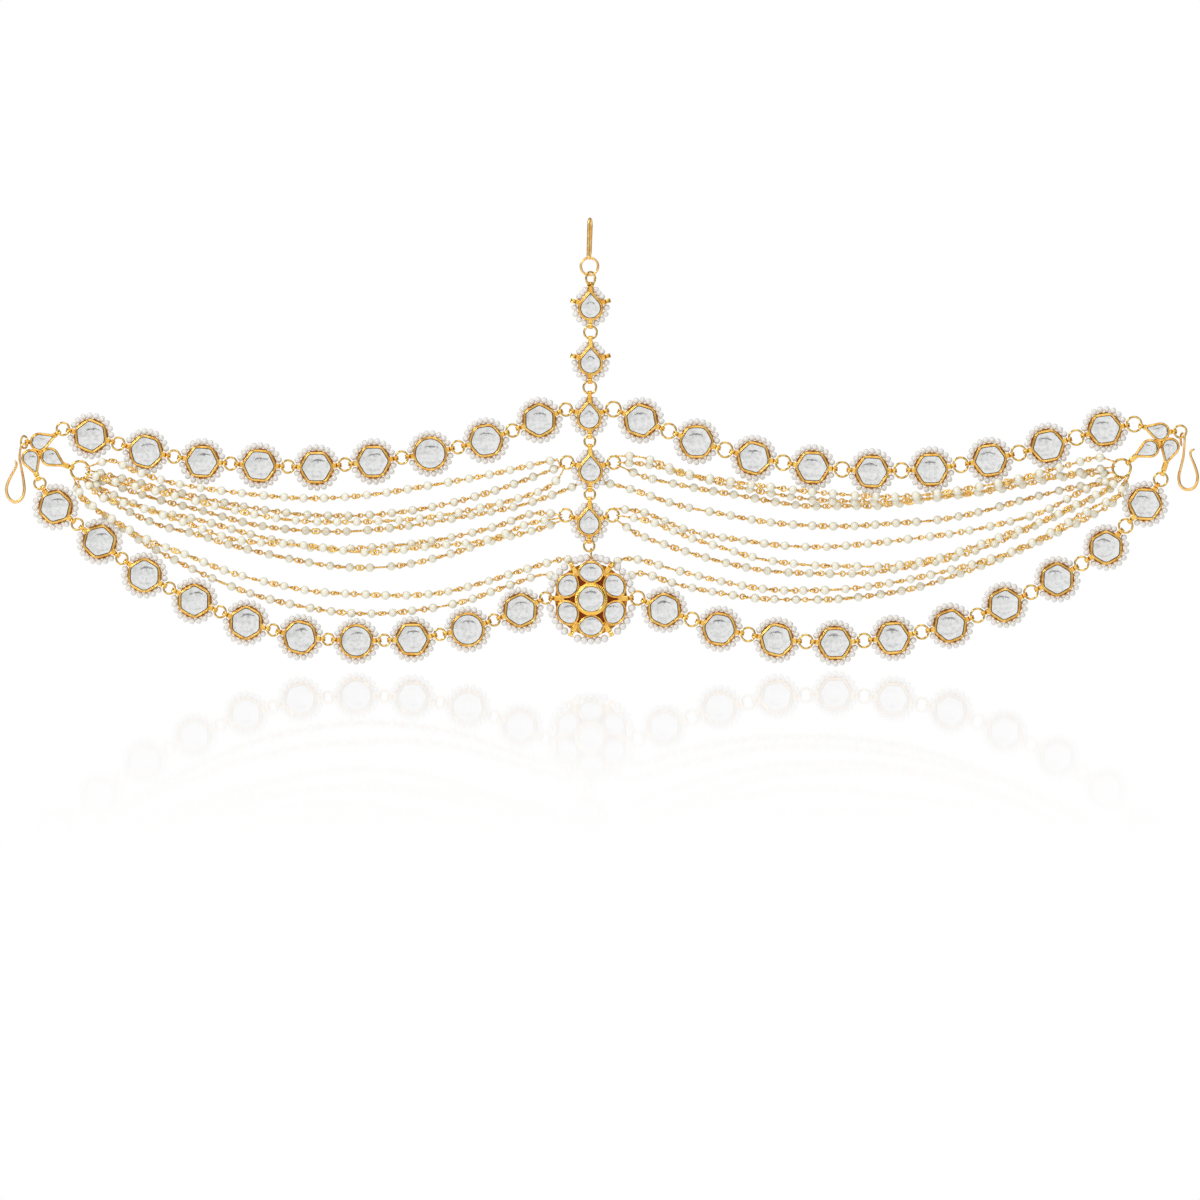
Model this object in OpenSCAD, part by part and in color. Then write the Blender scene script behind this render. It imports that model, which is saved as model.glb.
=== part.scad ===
// Matha patti: a head ornament of gold, foil-backed stones and pearls.
// It hangs from a hair hook whose bend is the origin. Millimetres, front toward -Y, +Z up.
// Each piece is drawn lying flat, front upward, and stood upright by its module.

/* [Stone strands] */
// Step from stone to stone along the upper left strand
upper_left_pitch = 20.6; // [20.4:0.1:21]
// Step from stone to stone along the upper right strand
upper_right_pitch = 21.4; // [21:0.1:21.6]
// Step from stone to stone along the lower left strand
lower_left_pitch = 20.2; // [20.1:0.1:20.4]
// Step from stone to stone along the lower right strand
lower_right_pitch = 21; // [20.8:0.1:21.2]
// Distance of a hexagon stone's flats from its middle
stone_flat = 4.85; // [4.6:0.05:5]
// Distance of a hexagon stone's blunted corners from its middle
stone_corner = 5.4; // [5.2:0.05:5.5]
// Gold wall between a stone and the outside of its setting
bezel_wall = 0.6; // [0.5:0.05:0.65]
// Distance of a lug's hole from the middle of its setting
lug_reach = 8.05; // [8:0.05:8.2]

/* [Seed pearls] */
// Radius of the ring of seed pearls round a strand stone
halo_r = 7.3; // [7.3:0.05:7.4]
// Radius of the seed pearl string
seed_r = 1; // [0.9:0.05:1.05]

/* [Drops] */
// Radius of the round end of a drop stone
drop_r = 3.6; // [3.3:0.1:3.8]
// Distance from the middle of a drop's round end to its point
drop_point = 5.2; // [5:0.1:5.4]
// Radius of the round end of a drop's seed pearl string
drop_halo_r = 5.75; // [5.7:0.05:6]

/* [Flower] */
// Distance of the flower's petal walls from its middle
flower_r = 13.85; // [13.6:0.05:13.85]
// Radius of the flower's ring of seed pearls
flower_halo_r = 15; // [14.9:0.1:15.2]

/* [Wire] */
// Wire radius of a jump ring
ring_wire = 0.38; // [0.3:0.01:0.4]
// Radius of a gathering ring that holds the pearl chains
gather_r = 3.25; // [3.2:0.05:3.3]
// Wire radius of the gathering rings and the hair hook's ring
stout_wire = 0.45; // [0.4:0.01:0.45]
// Wire radius of the two side hooks
side_hook_wire = 0.4; // [0.35:0.01:0.42]
// Wire radius of the hair hook
hair_hook_wire = 0.55; // [0.5:0.05:0.65]

/* [Pearl chains] */
// Radius of a pearl chain along its length
chain_r = 1.2; // [1:0.05:1.25]
// Radius of a pearl chain's end links
chain_end_r = 0.45; // [0.4:0.01:0.5]
// Depth between neighbouring layers of pearl chains
layer = 3.1; // [3:0.05:3.3]

/* [Hidden] */
$fn = 48;
STRANDS = ["upper_left", "upper_right", "lower_left", "lower_right"];
PARTS = ["settings", "stones", "halos", "rings"];
gold = "goldenrod";
glass = "gainsboro";
seed = "linen";
pearl = "beige";

// Depths: zero is the middle of the seed pearls, and the front is positive
back = -1.5;
base_thick = 0.6;
base_ledge = 0.1;
rim = 1.7;
seat = -0.1;
stone_back = 0;
stone_girdle = 1.6;
stone_table = 2.2;
lug_depth = 0.7;
thread_depth = -0.55;
drop_thread = [-1.08, 0.25];
fit = 0.14;
link_gap = 0.17;
// The pieces hang under the front leg of the hair hook, and the origin is under its bend
hang_depth = 1.5;

// Lugs: short tubes that hold the jump rings, on a neck with a broad strap over it
lug_r = 1.12;
lug_hole = 0.7;
lug_length = 1.5;
neck_width = 0.9;
neck_depth = 1;
strap_width = 2;
strap_depth = [1.12, 1.66];

// Drops, from the top: place of each stone's middle, to the right and up
drops = [[0.2, -30.7], [0.2, -50.5], [-0.3, -70.3], [0.2, -89.4], [-0.3, -108.4]];
drop_blunt = 0.3;
drop_centre = [0, -0.95];
drop_wall = 0.8;
drop_halo_centre = [0, -0.9];
drop_halo_point = 5.4;
drop_halo_blunt = 2.2;
first_top_reach = 7.5;
drop_top_reach = 7.9;
drop_bottom_reach = 7.3;
last_bottom_reach = 6.9;
drop_side_reach = 6.4;
drop_side_tilt = 15;
drop_ring_r = 2.3;

flower = [0.4, -136.3];
flower_reach = 14.3;
flower_tab_reach = 14.4;
flower_hub_r = 6.1;
flower_hub_rim = 2.4;
flower_stone_r = 4.65;
flower_stone_lift = 0.8;
flower_wall = 0.8;
flower_waist_r = 11.2;
flower_plate_r = 13;
petals = 6;
petal_mid = 9.3;
petal_r = 4.25;
petal_long = flower_r - flower_wall - petal_mid;
petal_shoulder = [7.65, 3.05];
petal_cheek = [6.75, 1.8];
petal_tip = 6.2;
last_ring_r = 1.9;

// Strand tables: the fall in degrees of each step away from the middle of the ornament,
// the direction of a corner of each hexagon, and how round it is, from 0 for a hexagon to 1 for
// a circle
upper_left_falls = [22, 21, 13, 8, 6, -2, -4, -10, -16, -14];
upper_left_turns = [30, 10, 0, 1, 0, -5, -4, 44, 36];
upper_left_round = [0.1, 0.6, 1, 0.1, 0, 0.2, 0, 0.4, 0];
upper_right_falls = [22, 21, 16, 9, 4, -2, -9, -14, -16, -10];
upper_right_turns = [41, 0, 43, -2, -4, 1, 8, 12, 8];
upper_right_round = [0, 0.6, 0.1, 0, 0.1, 0.1, 0, 0, 0];
lower_left_falls = [26, 20, 10, 2, -4, -15, -23, -27, -37, -38, -57];
lower_left_turns = [26, 0, 0, 0, 45, 30, 30, 30, 15, 16];
lower_left_round = [0.2, 1, 0, 1, 0.5, 0.1, 0, 0.5, 0, 0];
lower_right_falls = [24, 19, 11, 3, -5, -12, -21, -26, -33, -48, -58];
lower_right_turns = [35, 50, 45, 0, 3, 21, 27, 29, 29, -3];
lower_right_round = [0.3, 0.5, 0.1, 0.1, 0, 0.1, 0, 0, 0.1, 0];

// Trefoils: place of each stone's middle and the direction of its point
left_trefoil_table = [[[-197.2, -79.4], 22], [[-193.5, -85.6], -31], [[-200.9, -86.6], -70]];
right_trefoil_table = [[[204.3, -75.8], 163], [[200.6, -82.5], 207], [[208.5, -82.5], 255]];
trefoil_r = 2.65;
trefoil_point = 4.95;
trefoil_blunt = 0.25;
trefoil_back_shift = 1;
left_gather = [-183.5, -89.9];
right_gather = [191.3, -89.2];
left_hook_hole = [-202.4, -79.8];
right_hook_ring = [212.4, -76];
side_hook_swell = 0.4;
hook_ring_r = 2.2;
left_hook_ring_turn = -55;

// Hooks: routes of their wires, to the right, up and toward the front
hair_hook_bend = 2.2;
hair_hook_leg = 13.6;
hair_hook_splay = 0.45;
hair_hook_ring = [-0.2, -16.6];
hair_hook_ring_r = 3.1;
first_ring_turn = 46;
first_ring_gap = 0.3;
left_hook_route = [
    [-202.6, -81.7, -1.1], [-203, -80.8, -1.1], [-203.8, -80.4, -1.1], [-204.6, -80.9, -1.1],
    [-205, -82.2, -1.1], [-205.3, -84.2, -1.1], [-205.3, -86.2, -1], [-204.9, -88, -0.8],
    [-204.3, -91, -0.6], [-203.8, -94, -0.4], [-203.6, -97.3, -0.2], [-204.4, -99.9, 0],
    [-206.7, -101.4, 0], [-209, -100.1, 0], [-210, -97.3, 0], [-209.5, -94.5, 0],
    [-208, -91.4, 0], [-206.6, -88.8, 0], [-206.4, -87.4, 0], [-207, -86.4, 0]];
right_hook_route = [
    [213, -81.4, -0.25], [212.7, -80, -0.4], [212.6, -78.5, -0.4], [212.7, -77.2, -0.1],
    [213.2, -76.6, 0.7], [213.7, -77.2, 1.5], [213.9, -78.5, 1.8], [213.9, -80, 1.7],
    [213.8, -81.5, 1.3], [213.7, -82.8, 0.9], [213.5, -85, 0.7], [212.8, -88.2, 0.7],
    [211.9, -91.9, 0.7], [212.2, -94.9, 0.7], [213.5, -96.4, 0.7], [215.2, -96.9, 0.7],
    [217.3, -96.2, 0.7], [218.4, -94.2, 0.7], [218.6, -91.8, 0.7], [217.5, -88, 0.7],
    [216.2, -84.9, 0.7], [216.2, -83.1, 0.7], [217.6, -82.3, 0.7]];

// Pearl chains: layers at the inner and outer end, then the route from the middle outward
left_chain_table = [
    [1, 1, [[-11.5, -86.6], [-14, -86.5], [-36, -91.5], [-58, -95.5], [-81, -99], [-103, -100],
        [-127, -98], [-150, -94.5], [-164, -90], [-172, -86.5], [-179.7, -88.4]]],
    [0, 0, [[-11.1, -88.8], [-35, -97.5], [-56, -103], [-78.5, -106], [-101.5, -106],
        [-124.5, -103], [-148, -98], [-166, -93.5], [-179.3, -90.2]]],
    [1, 1, [[-9.8, -90.1], [-11.5, -93], [-18, -97.5], [-35, -102.5], [-59, -107], [-82, -108.5],
        [-106, -108], [-127, -104.5], [-150, -99], [-169, -94.5], [-179.7, -91.5]]],
    [-1, -1, [[-3.6, -94.4], [-9, -97], [-25, -102.5], [-48, -107], [-70, -110.5], [-92.5, -112],
        [-118, -110], [-141.5, -104], [-157, -100], [-172, -95], [-179.9, -92.6]]],
    [0, 0, [[-12.1, -105.8], [-21, -105.6], [-35, -110.5], [-57.5, -115.5], [-83, -118],
        [-98, -118], [-118, -114], [-142, -107.5], [-157, -104.5], [-172, -98.5], [-180.4, -93.3]]],
    [1, 1, [[-11.9, -107.3], [-23, -109.5], [-37, -115], [-59, -117.5], [-80, -119.5],
        [-102.5, -117], [-127, -115], [-145, -109], [-164.5, -102.5], [-175, -100], [-181.7, -93.9]]],
    [-1, -1, [[-11.2, -108.4], [-20, -111.5], [-36, -115.5], [-52, -120.5], [-67, -124],
        [-83, -125], [-99, -123.5], [-125, -118], [-141.5, -113], [-155.5, -109.5], [-169, -103],
        [-180.9, -93.6]]],
    [-1, 1, [[-6.4, -124.5], [-9, -121.8], [-24.5, -126], [-39, -130.5], [-53.5, -134], [-68, -135],
        [-84, -134.5], [-99.5, -133.5], [-115, -130.5], [-130, -126.5], [-145, -120.5],
        [-159, -115], [-173.5, -106.5], [-182.6, -99.5], [-184, -94.5]]],
    [-1, -1, [[-11.4, -129.5], [-17, -127.5], [-31, -132], [-45, -137], [-60, -140], [-76, -141.5],
        [-90.5, -141], [-106, -138.5], [-120, -135], [-134.5, -129.5], [-149, -122.5],
        [-161.5, -115.5], [-173, -107.5], [-182.5, -100.5], [-185.2, -94.3]]]];
right_chain_table = [
    [1, 1, [[11, -84.8], [19.5, -85.5], [34.5, -91], [51, -94], [73, -97], [89, -98.5],
        [107.5, -99.5], [123, -98.5], [139, -96], [154, -93], [170.5, -88.5], [182, -85.4],
        [187.7, -86.5]]],
    [0, 0, [[12, -87.2], [21, -88], [34.5, -91.5], [51, -95.5], [76, -100], [91, -101],
        [107.5, -101.2], [123, -100], [139.5, -97.8], [154, -93.7], [169, -91.7], [186.9, -88.9]]],
    [-1, -1, [[11.5, -88.8], [20.5, -92.5], [36.5, -96], [51, -98.5], [75, -102.5], [91.5, -102.7],
        [107.5, -102.4], [128, -99.1], [143.5, -97.5], [161, -94], [175, -91.7], [187.1, -90.8]]],
    [-1, -1, [[4, -94.2], [10.5, -95.5], [17, -97.5], [32, -102.5], [48, -105.7], [63.5, -108.5],
        [79, -109.8], [94, -110], [109.5, -109], [125, -107.8], [140, -105], [154.5, -101],
        [170.5, -96.9], [181, -94.8], [187.9, -92.6]]],
    [0, 0, [[10.5, -103.8], [20.5, -105.5], [36.5, -112], [54, -115], [69, -117], [84.5, -117.5],
        [99.5, -116.4], [115.5, -114.6], [131.5, -112.5], [146.5, -109.5], [162.5, -105],
        [177, -97.5], [188.6, -93]]],
    [1, 1, [[11.4, -106.4], [22, -108.5], [34, -113.5], [48, -118], [62, -122], [78, -124],
        [93, -124.5], [108.5, -124.3], [125, -121.5], [134, -118.8], [150, -113], [166.5, -106.5],
        [177, -101], [185.5, -97], [189.7, -93.4]]],
    [-1, -1, [[10.5, -108.5], [18.5, -113.5], [34, -119], [48, -123], [63, -126], [80, -127],
        [96.5, -127], [112, -125.2], [129, -121.8], [144.5, -116.8], [160, -110], [178, -101.5],
        [186, -97.5], [190.7, -93.7]]],
    [-1, 1, [[7.2, -124.5], [11.5, -122], [18.5, -122.3], [31.5, -126], [50, -130.5], [64, -132.8],
        [78, -133.2], [94, -132.5], [111, -130], [129, -126], [145, -121.5], [159, -116],
        [173, -108], [182, -102.8], [189.8, -99.2], [192.2, -93.7]]],
    [-1, -1, [[12.2, -129.5], [18.5, -127], [31.5, -131], [45, -133.8], [60, -136], [75, -136.5],
        [90.5, -136.2], [107, -134.2], [120, -131.5], [135.5, -126.3], [151, -120.3], [165, -114],
        [181, -106], [190, -100], [193.3, -93.5]]]];
chain_spacing = 7;
end_layer_share = 0.3;
hidden_end_depth = -2.2;

// Points and directions
function unit(v) = v / norm(v);
function toward(angle) = [cos(angle), sin(angle)];
function mix(a, b, share) = a + (b - a) * share;

// A hexagon with blunted corners: twelve points, two for each flat, its corners from the turn on
function blunt_hexagon(flat_r, corner_r, turn) =
    let (half = acos(flat_r / corner_r))
    [for (k = [0 : 5]) for (s = [-1, 1]) corner_r * toward(turn + 30 + 60 * k + s * half)];
// The flats of a stone move out to the corners' circle as it gets rounder
function stone_flat_at(roundness) = mix(stone_flat, stone_corner * cos(15), roundness);

// Angle between a direction and the nearest of a hexagon's flats
function off_flat(angle) = let (a = (angle % 60 + 60) % 60) min(a, 60 - a);

// A pear: a round end of radius r at the origin, and a blunt point up the Y axis
function pear(r, point, blunt, steps = 18) =
    let (lean = asin((r - blunt) / point), tip_steps = max(2, floor(steps / 5)))
    concat(
        [for (k = [0 : tip_steps]) [0, point] + blunt * toward(mix(lean, 180 - lean, k / tip_steps))],
        [for (k = [0 : steps - tip_steps - 2]) r * toward(mix(180 - lean, 360 + lean,
            k / (steps - tip_steps - 2)))]);
function turned(outline, angle) =
    [for (p = outline) [p.x * cos(angle) - p.y * sin(angle), p.x * sin(angle) + p.y * cos(angle)]];
function moved(outline, shift) = [for (p = outline) p + shift];

// A petal, grown by a distance: an oval outer end and a blunt point toward the flower's middle
function petal(grow) = let (
        oval = [for (k = [0 : 8]) let (d = toward(-90 + 22.5 * k))
            [petal_mid + (petal_long + grow) * d.x, (petal_r + grow) * d.y]],
        shoulder = petal_shoulder + grow * [-0.7, 0.7], cheek = petal_cheek + grow * [-0.8, 0.6])
    concat(oval, [shoulder, cheek, [petal_tip - 1.3 * grow, 0], [cheek.x, -cheek.y],
        [shoulder.x, -shoulder.y]]);

// Strands: side, first ring, pitch, falls, turns and roundness of the stones
function stride(strand, k) = [strand[0] * cos(strand[3][k]), -sin(strand[3][k])];
function place(strand, k) = k == 0
    ? strand[1] + strand[2] / 2 * stride(strand, 0)
    : place(strand, k - 1) + strand[2] * stride(strand, k);
function ring_place(strand, k) = k == 0
    ? strand[1]
    : place(strand, k - 1) + strand[2] / 2 * stride(strand, k);
function ring_size(strand) = strand[2] / 2 - lug_reach;
function count(strand) = len(strand[4]);
function drop_ring(k, side, ring_r) =
    drops[k] + (drop_side_reach + ring_r) * [side * cos(drop_side_tilt), sin(drop_side_tilt)];
function flower_ring(side, ring_r) = flower + [side * (flower_reach + ring_r), 0.4];
upper_left = [-1, drop_ring(2, -1, upper_left_pitch / 2 - lug_reach), upper_left_pitch,
    upper_left_falls, upper_left_turns, upper_left_round];
upper_right = [1, drop_ring(2, 1, upper_right_pitch / 2 - lug_reach), upper_right_pitch,
    upper_right_falls, upper_right_turns, upper_right_round];
lower_left = [-1, flower_ring(-1, lower_left_pitch / 2 - lug_reach), lower_left_pitch,
    lower_left_falls, lower_left_turns, lower_left_round];
lower_right = [1, flower_ring(1, lower_right_pitch / 2 - lug_reach), lower_right_pitch,
    lower_right_falls, lower_right_turns, lower_right_round];

// Smooth curve through the points of a route, in spans of a few steps
function curve_at(a, b, c, d, t) =
    ((2 * b) + (c - a) * t + (2 * a - 5 * b + 4 * c - d) * t * t + (3 * b - a - 3 * c + d) * t * t * t) / 2;
function span_steps(a, b, spacing) = max(1, round(norm(b - a) / spacing));
function smooth(route, spacing) = let (last = len(route) - 1) concat(
    [for (k = [0 : last - 1])
        let (steps = span_steps(route[k], route[k + 1], spacing))
        for (s = [0 : steps - 1])
            curve_at(route[max(0, k - 1)], route[k], route[k + 1], route[min(last, k + 2)], s / steps)],
    [route[last]]);

// Tube of round cross-section along a path, with a radius for each of its points
function tangent(path, k) = unit(path[min(len(path) - 1, k + 1)] - path[max(0, k - 1)]);
function across(normal, along) = unit(normal - (normal * along) * along);
function normals(path, start, k = 0) =
    let (here = across(start, tangent(path, k)))
    k == len(path) - 1 ? [here] : concat([here], normals(path, here, k + 1));
module tube(path, radii, start = [0, 0, 1], sides = 8, closed = false) {
    n = len(path);
    last = n - 1;
    along = [for (k = [0 : last]) closed
        ? unit(path[(k + 1) % n] - path[(k + last) % n]) : tangent(path, k)];
    side = closed ? [for (k = [0 : last]) across(start, along[k])] : normals(path, start);
    points = [for (k = [0 : last]) for (s = [0 : sides - 1])
        let (angle = 360 * s / sides)
        path[k] + radii[k] * (cos(angle) * side[k] + sin(angle) * cross(along[k], side[k]))];
    walls = [for (k = [0 : closed ? last : last - 1]) for (s = [0 : sides - 1])
        let (a = k * sides + s, b = k * sides + (s + 1) % sides,
            c = ((k + 1) % n) * sides + s, d = ((k + 1) % n) * sides + (s + 1) % sides)
        each [[a, c, d], [a, d, b]]];
    caps = closed ? [] : [[for (s = [0 : sides - 1]) s], [for (s = [sides - 1 : -1 : 0]) last * sides + s]];
    polyhedron(points, concat(caps, walls));
}

// Stands a piece drawn flat upright, with its upper face to the front
module upright() {
    rotate([90, 0, 0]) translate([0, 0, hang_depth]) children();
}

// Cut stone: a straight girdle from its back, then facets up to a flat table
module cut_stone(outline, centre, lift = 0, table_share = 0.72) {
    n = len(outline);
    table = [for (p = outline) centre + (p - centre) * table_share];
    points = concat(
        [for (p = outline) [p.x, p.y, stone_back + lift]],
        [for (p = outline) [p.x, p.y, stone_girdle + lift]],
        [for (p = table) [p.x, p.y, stone_table + lift]]);
    walls = [for (level = [0, n]) for (k = [0 : n - 1])
        let (next = (k + 1) % n)
        each [[level + k, level + n + k, level + n + next], [level + k, level + n + next, level + next]]];
    polyhedron(points, concat([[for (k = [0 : n - 1]) k], [for (k = [n - 1 : -1 : 0]) 2 * n + k]], walls));
}

module slab(outline, from, to) {
    translate([0, 0, from]) linear_extrude(to - from) polygon(outline);
}

// Lug: a neck, its strap and a short tube that holds a ring standing off in the given place
module lug(from, ring, ring_r, start, twist = 0) {
    away = ring - from;
    hole = norm(away) - ring_r;
    translate([from.x, from.y, lug_depth]) rotate([0, 0, atan2(away.y, away.x)]) difference() {
        union() {
            translate([hole, 0, 0]) rotate([90 + twist, 0, 0])
                cylinder(h = lug_length, r = lug_r, center = true);
            translate([start, -neck_width / 2, -neck_depth / 2])
                cube([hole - (lug_r + lug_hole) / 2 - start, neck_width, neck_depth]);
            translate([start, -strap_width / 2, strap_depth[0] - lug_depth])
                cube([hole - 0.6 - start, strap_width, strap_depth[1] - strap_depth[0]]);
        }
        translate([hole, 0, 0]) rotate([90 + twist, 0, 0])
            cylinder(h = 2 * lug_length, r = lug_hole, center = true);
    }
}

// Jump ring lying in the plane of the picture
module jump_ring(place, ring_r, wire = ring_wire) {
    translate([place.x, place.y, lug_depth]) rotate_extrude() translate([ring_r, 0]) circle(r = wire);
}

// Gap in a string of seed pearls, in front of the thread that runs on behind
module string_gap(radius, angle, half_width, deep = false) {
    floor_depth = deep ? -2 * seed_r : thread_depth;
    rotate([0, 0, angle]) translate([radius - 2 * seed_r, -half_width, floor_depth])
        cube([4 * seed_r, 2 * half_width, 4 * seed_r]);
}

// One hexagon setting with its two lugs
module strand_setting(strand, k) {
    at = place(strand, k);
    flat_r = stone_flat_at(strand[5][k]);
    outer_flat = flat_r + bezel_wall + fit;
    outer_corner = stone_corner + bezel_wall + fit;
    outline = blunt_hexagon(flat_r + fit, stone_corner + fit, strand[4][k]);
    difference() {
        union() {
            slab(moved(blunt_hexagon(outer_flat, outer_corner, strand[4][k]), at), back, rim);
            translate([at.x, at.y, back])
                cylinder(h = base_thick, r = outer_corner + base_ledge);
        }
        slab(moved(outline, at), seat, rim + 1);
    }
    for (r = [k, k + 1])
        let (ring = ring_place(strand, r), away = ring - at,
            slant = off_flat(atan2(away.y, away.x) - strand[4][k] - 30),
            inner = min(flat_r / cos(slant), stone_corner))
        lug(at, ring, ring_size(strand),
            inner + fit + 0.1 + strap_width / 2 * tan(min(slant, 30 - slant)));
}
module settings(strand) {
    color(gold) upright() for (k = [0 : count(strand) - 1]) strand_setting(strand, k);
}
module stones(strand) {
    color(glass) upright() for (k = [0 : count(strand) - 1]) {
        at = place(strand, k);
        flat_r = stone_flat_at(strand[5][k]);
        cut_stone(moved(blunt_hexagon(flat_r, stone_corner, strand[4][k]), at), at);
    }
}
module halos(strand) {
    gap = 1.6;
    color(seed) upright() for (k = [0 : count(strand) - 1]) {
        at = place(strand, k);
        translate([at.x, at.y, 0]) difference() {
            rotate_extrude() translate([halo_r, 0]) circle(r = seed_r);
            for (r = [k, k + 1])
                let (away = ring_place(strand, r) - at)
                string_gap(halo_r, atan2(away.y, away.x), gap);
        }
    }
}
module rings(strand) {
    color(gold) upright() for (k = [0 : count(strand)])
        jump_ring(ring_place(strand, k), ring_size(strand));
}

// Drops, and the rings between them
function drop_top(k) = drops[k] + [0, k > 0 ? drop_top_reach : first_top_reach];
function drop_low(k) = drops[k] - [0, k < 4 ? drop_bottom_reach : last_bottom_reach];
function mid_ring(k) = (drop_low(k) + drop_top(k + 1)) / 2;
function mid_ring_r(k) = (drop_low(k).y - drop_top(k + 1).y) / 2;
last_ring = drop_low(4) - [0, last_ring_r];
module drop_setting(k) {
    at = drops[k];
    outer = drop_wall + fit;
    color(gold) upright() {
        difference() {
            union() {
                slab(moved(pear(drop_r + outer, drop_point, drop_blunt + outer, 30), at + drop_centre),
                    back, rim);
                if (k == 3) for (s = [-1, 1]) back_eye(at + [2.6 * s, -3.6]);
            }
            slab(moved(pear(drop_r + fit, drop_point, drop_blunt + fit, 30), at + drop_centre),
                seat, rim + 1);
        }
        if (k == 0) lug(at, at + [0, 2 * first_top_reach], first_top_reach, 5, first_ring_turn);
        if (k > 0) lug(at, mid_ring(k - 1), mid_ring_r(k - 1), 5);
        if (k < 4) lug(at, mid_ring(k), mid_ring_r(k), drop_r + 1.2);
        if (k == 4) lug(at, last_ring, last_ring_r, drop_r + 1.2);
        for (s = [-1, 1]) lug(at, drop_ring(k, s, drop_ring_r), drop_ring_r, drop_r + 0.3);
    }
}
// Small eye standing on a setting's back, for a chain that comes from behind
module back_eye(place) {
    translate([place.x, place.y, back - 0.3]) rotate([90, 0, 0])
        rotate_extrude() translate([0.9, 0]) circle(r = 0.32);
}
module drop_stone(k) {
    color(glass) upright()
        cut_stone(moved(pear(drop_r, drop_point, drop_blunt), drops[k] + drop_centre), drops[k]);
}
// A drop's string of seed pearls: a pear of tube that thins to its thread behind each lug
module drop_halo(k) {
    outline = moved(pear(drop_halo_r, drop_halo_point, drop_halo_blunt, 30), drop_halo_centre);
    path = [for (p = outline)
        let (open = min([for (a = [90, 270, drop_side_tilt, 180 - drop_side_tilt]) let (d = toward(a))
            (p * d < 0) ? 9 : abs(p.x * d.y - p.y * d.x)]), bare = open < 1.9)
        [drops[k].x + p.x, drops[k].y + p.y, bare ? drop_thread[0] : 0]];
    tube(path, [for (p = path) p.z < 0 ? drop_thread[1] : seed_r], sides = 8, closed = true);
}
module drop_halos() {
    color(seed) upright() for (k = [0 : 4]) drop_halo(k);
}

// Flower
module flower_setting() {
    hub_seat = seat + flower_stone_lift;
    color(gold) upright() {
        translate([flower.x, flower.y, 0]) difference() {
            union() {
                for (k = [0 : petals - 1]) slab(turned(petal(flower_wall), 30 + 60 * k), back, rim);
                translate([0, 0, back]) cylinder(h = rim - back - 0.05, r = flower_waist_r);
                translate([0, 0, back]) cylinder(h = 0.6, r = flower_plate_r);
                translate([0, 0, back]) cylinder(h = flower_hub_rim - back, r = flower_hub_r);
                for (a = [30, 60, 120, 150]) back_eye(12.3 * toward(a));
            }
            for (k = [0 : petals - 1]) {
                slab(turned(petal(1.2 * fit), 30 + 60 * k), seat, rim + 1);
                slab(turned([[9.4, 0], [6.35, 1.45], [6.35, -1.45]], 60 * k), seat + 0.8, rim + 1);
            }
            translate([0, 0, hub_seat]) cylinder(h = 3, r = flower_stone_r + fit);
        }
        for (a = [60, 120, 240, 300])
            lug(flower, flower + 2 * flower_reach * toward(a), flower_reach, flower_waist_r - 0.4);
        for (s = [-1, 1]) lug(flower, flower_ring(s, 2.2), 2.2, flower_waist_r - 0.4);
        top_tab();
    }
}
// Tab on the flower's top edge, drilled from front to back for the bail
module top_tab() {
    translate([flower.x, flower.y + flower_tab_reach, lug_depth]) difference() {
        union() {
            cylinder(h = 1.2, r = 1, center = true);
            translate([-0.6, -1.15, -0.5]) cube([1.2, 0.6, 1]);
        }
        cylinder(h = 3, r = 0.6, center = true);
    }
}
module flower_centre_stone() {
    color(glass) upright()
        cut_stone(moved([for (a = [0 : 22.5 : 359]) flower_stone_r * toward(a)], flower), flower,
            flower_stone_lift);
}
module flower_petal_stones() {
    color(glass) upright() translate([flower.x, flower.y, 0]) for (k = [0 : petals - 1]) {
        angle = 30 + 60 * k;
        cut_stone(turned(petal(0), angle), petal_mid * toward(angle));
    }
}
module flower_halo() {
    color(seed) upright() translate([flower.x, flower.y, 0]) difference() {
        rotate_extrude() translate([flower_halo_r, 0]) circle(r = seed_r);
        for (a = [60, 120, 240, 300]) string_gap(flower_halo_r, a, 1.05);
        for (a = [0, 180]) string_gap(flower_halo_r, a, 3.1);
        string_gap(flower_halo_r, 90, 1.2, true);
    }
}

// Trefoils
function trefoil_pear(stone, grow) = moved(
    turned(pear(trefoil_r + grow, trefoil_point, trefoil_blunt + grow), stone[1] - 90),
    trefoil_round(stone));
function trefoil_round(stone) = stone[0] - trefoil_back_shift * toward(stone[1]);
function trefoil_tip(stone) =
    trefoil_round(stone) + (trefoil_point + trefoil_blunt) * toward(stone[1]);
module trefoil(table, rings, ring_radii) {
    outer = bezel_wall + fit;
    middle = (table[0][0] + table[1][0] + table[2][0]) / 3;
    round_end = trefoil_round(table[0]);
    hook_side = round_end + (trefoil_r + fit + 0.1) * unit(rings[3] - round_end);
    color(gold) upright() {
        difference() {
            union() {
                for (stone = table) slab(trefoil_pear(stone, outer), back, rim);
                translate([middle.x, middle.y, back]) cylinder(h = rim - back - 0.5, r = 2);
            }
            for (stone = table) slab(trefoil_pear(stone, fit), seat, rim + 1);
        }
        for (k = [0 : 2]) lug(trefoil_tip(table[k]), rings[k], ring_radii[k], 0.3);
        lug(hook_side, rings[3], ring_radii[3], 0);
    }
}
module trefoil_stones(table) {
    color(glass) upright() for (stone = table) cut_stone(trefoil_pear(stone, 0), stone[0]);
}
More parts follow.
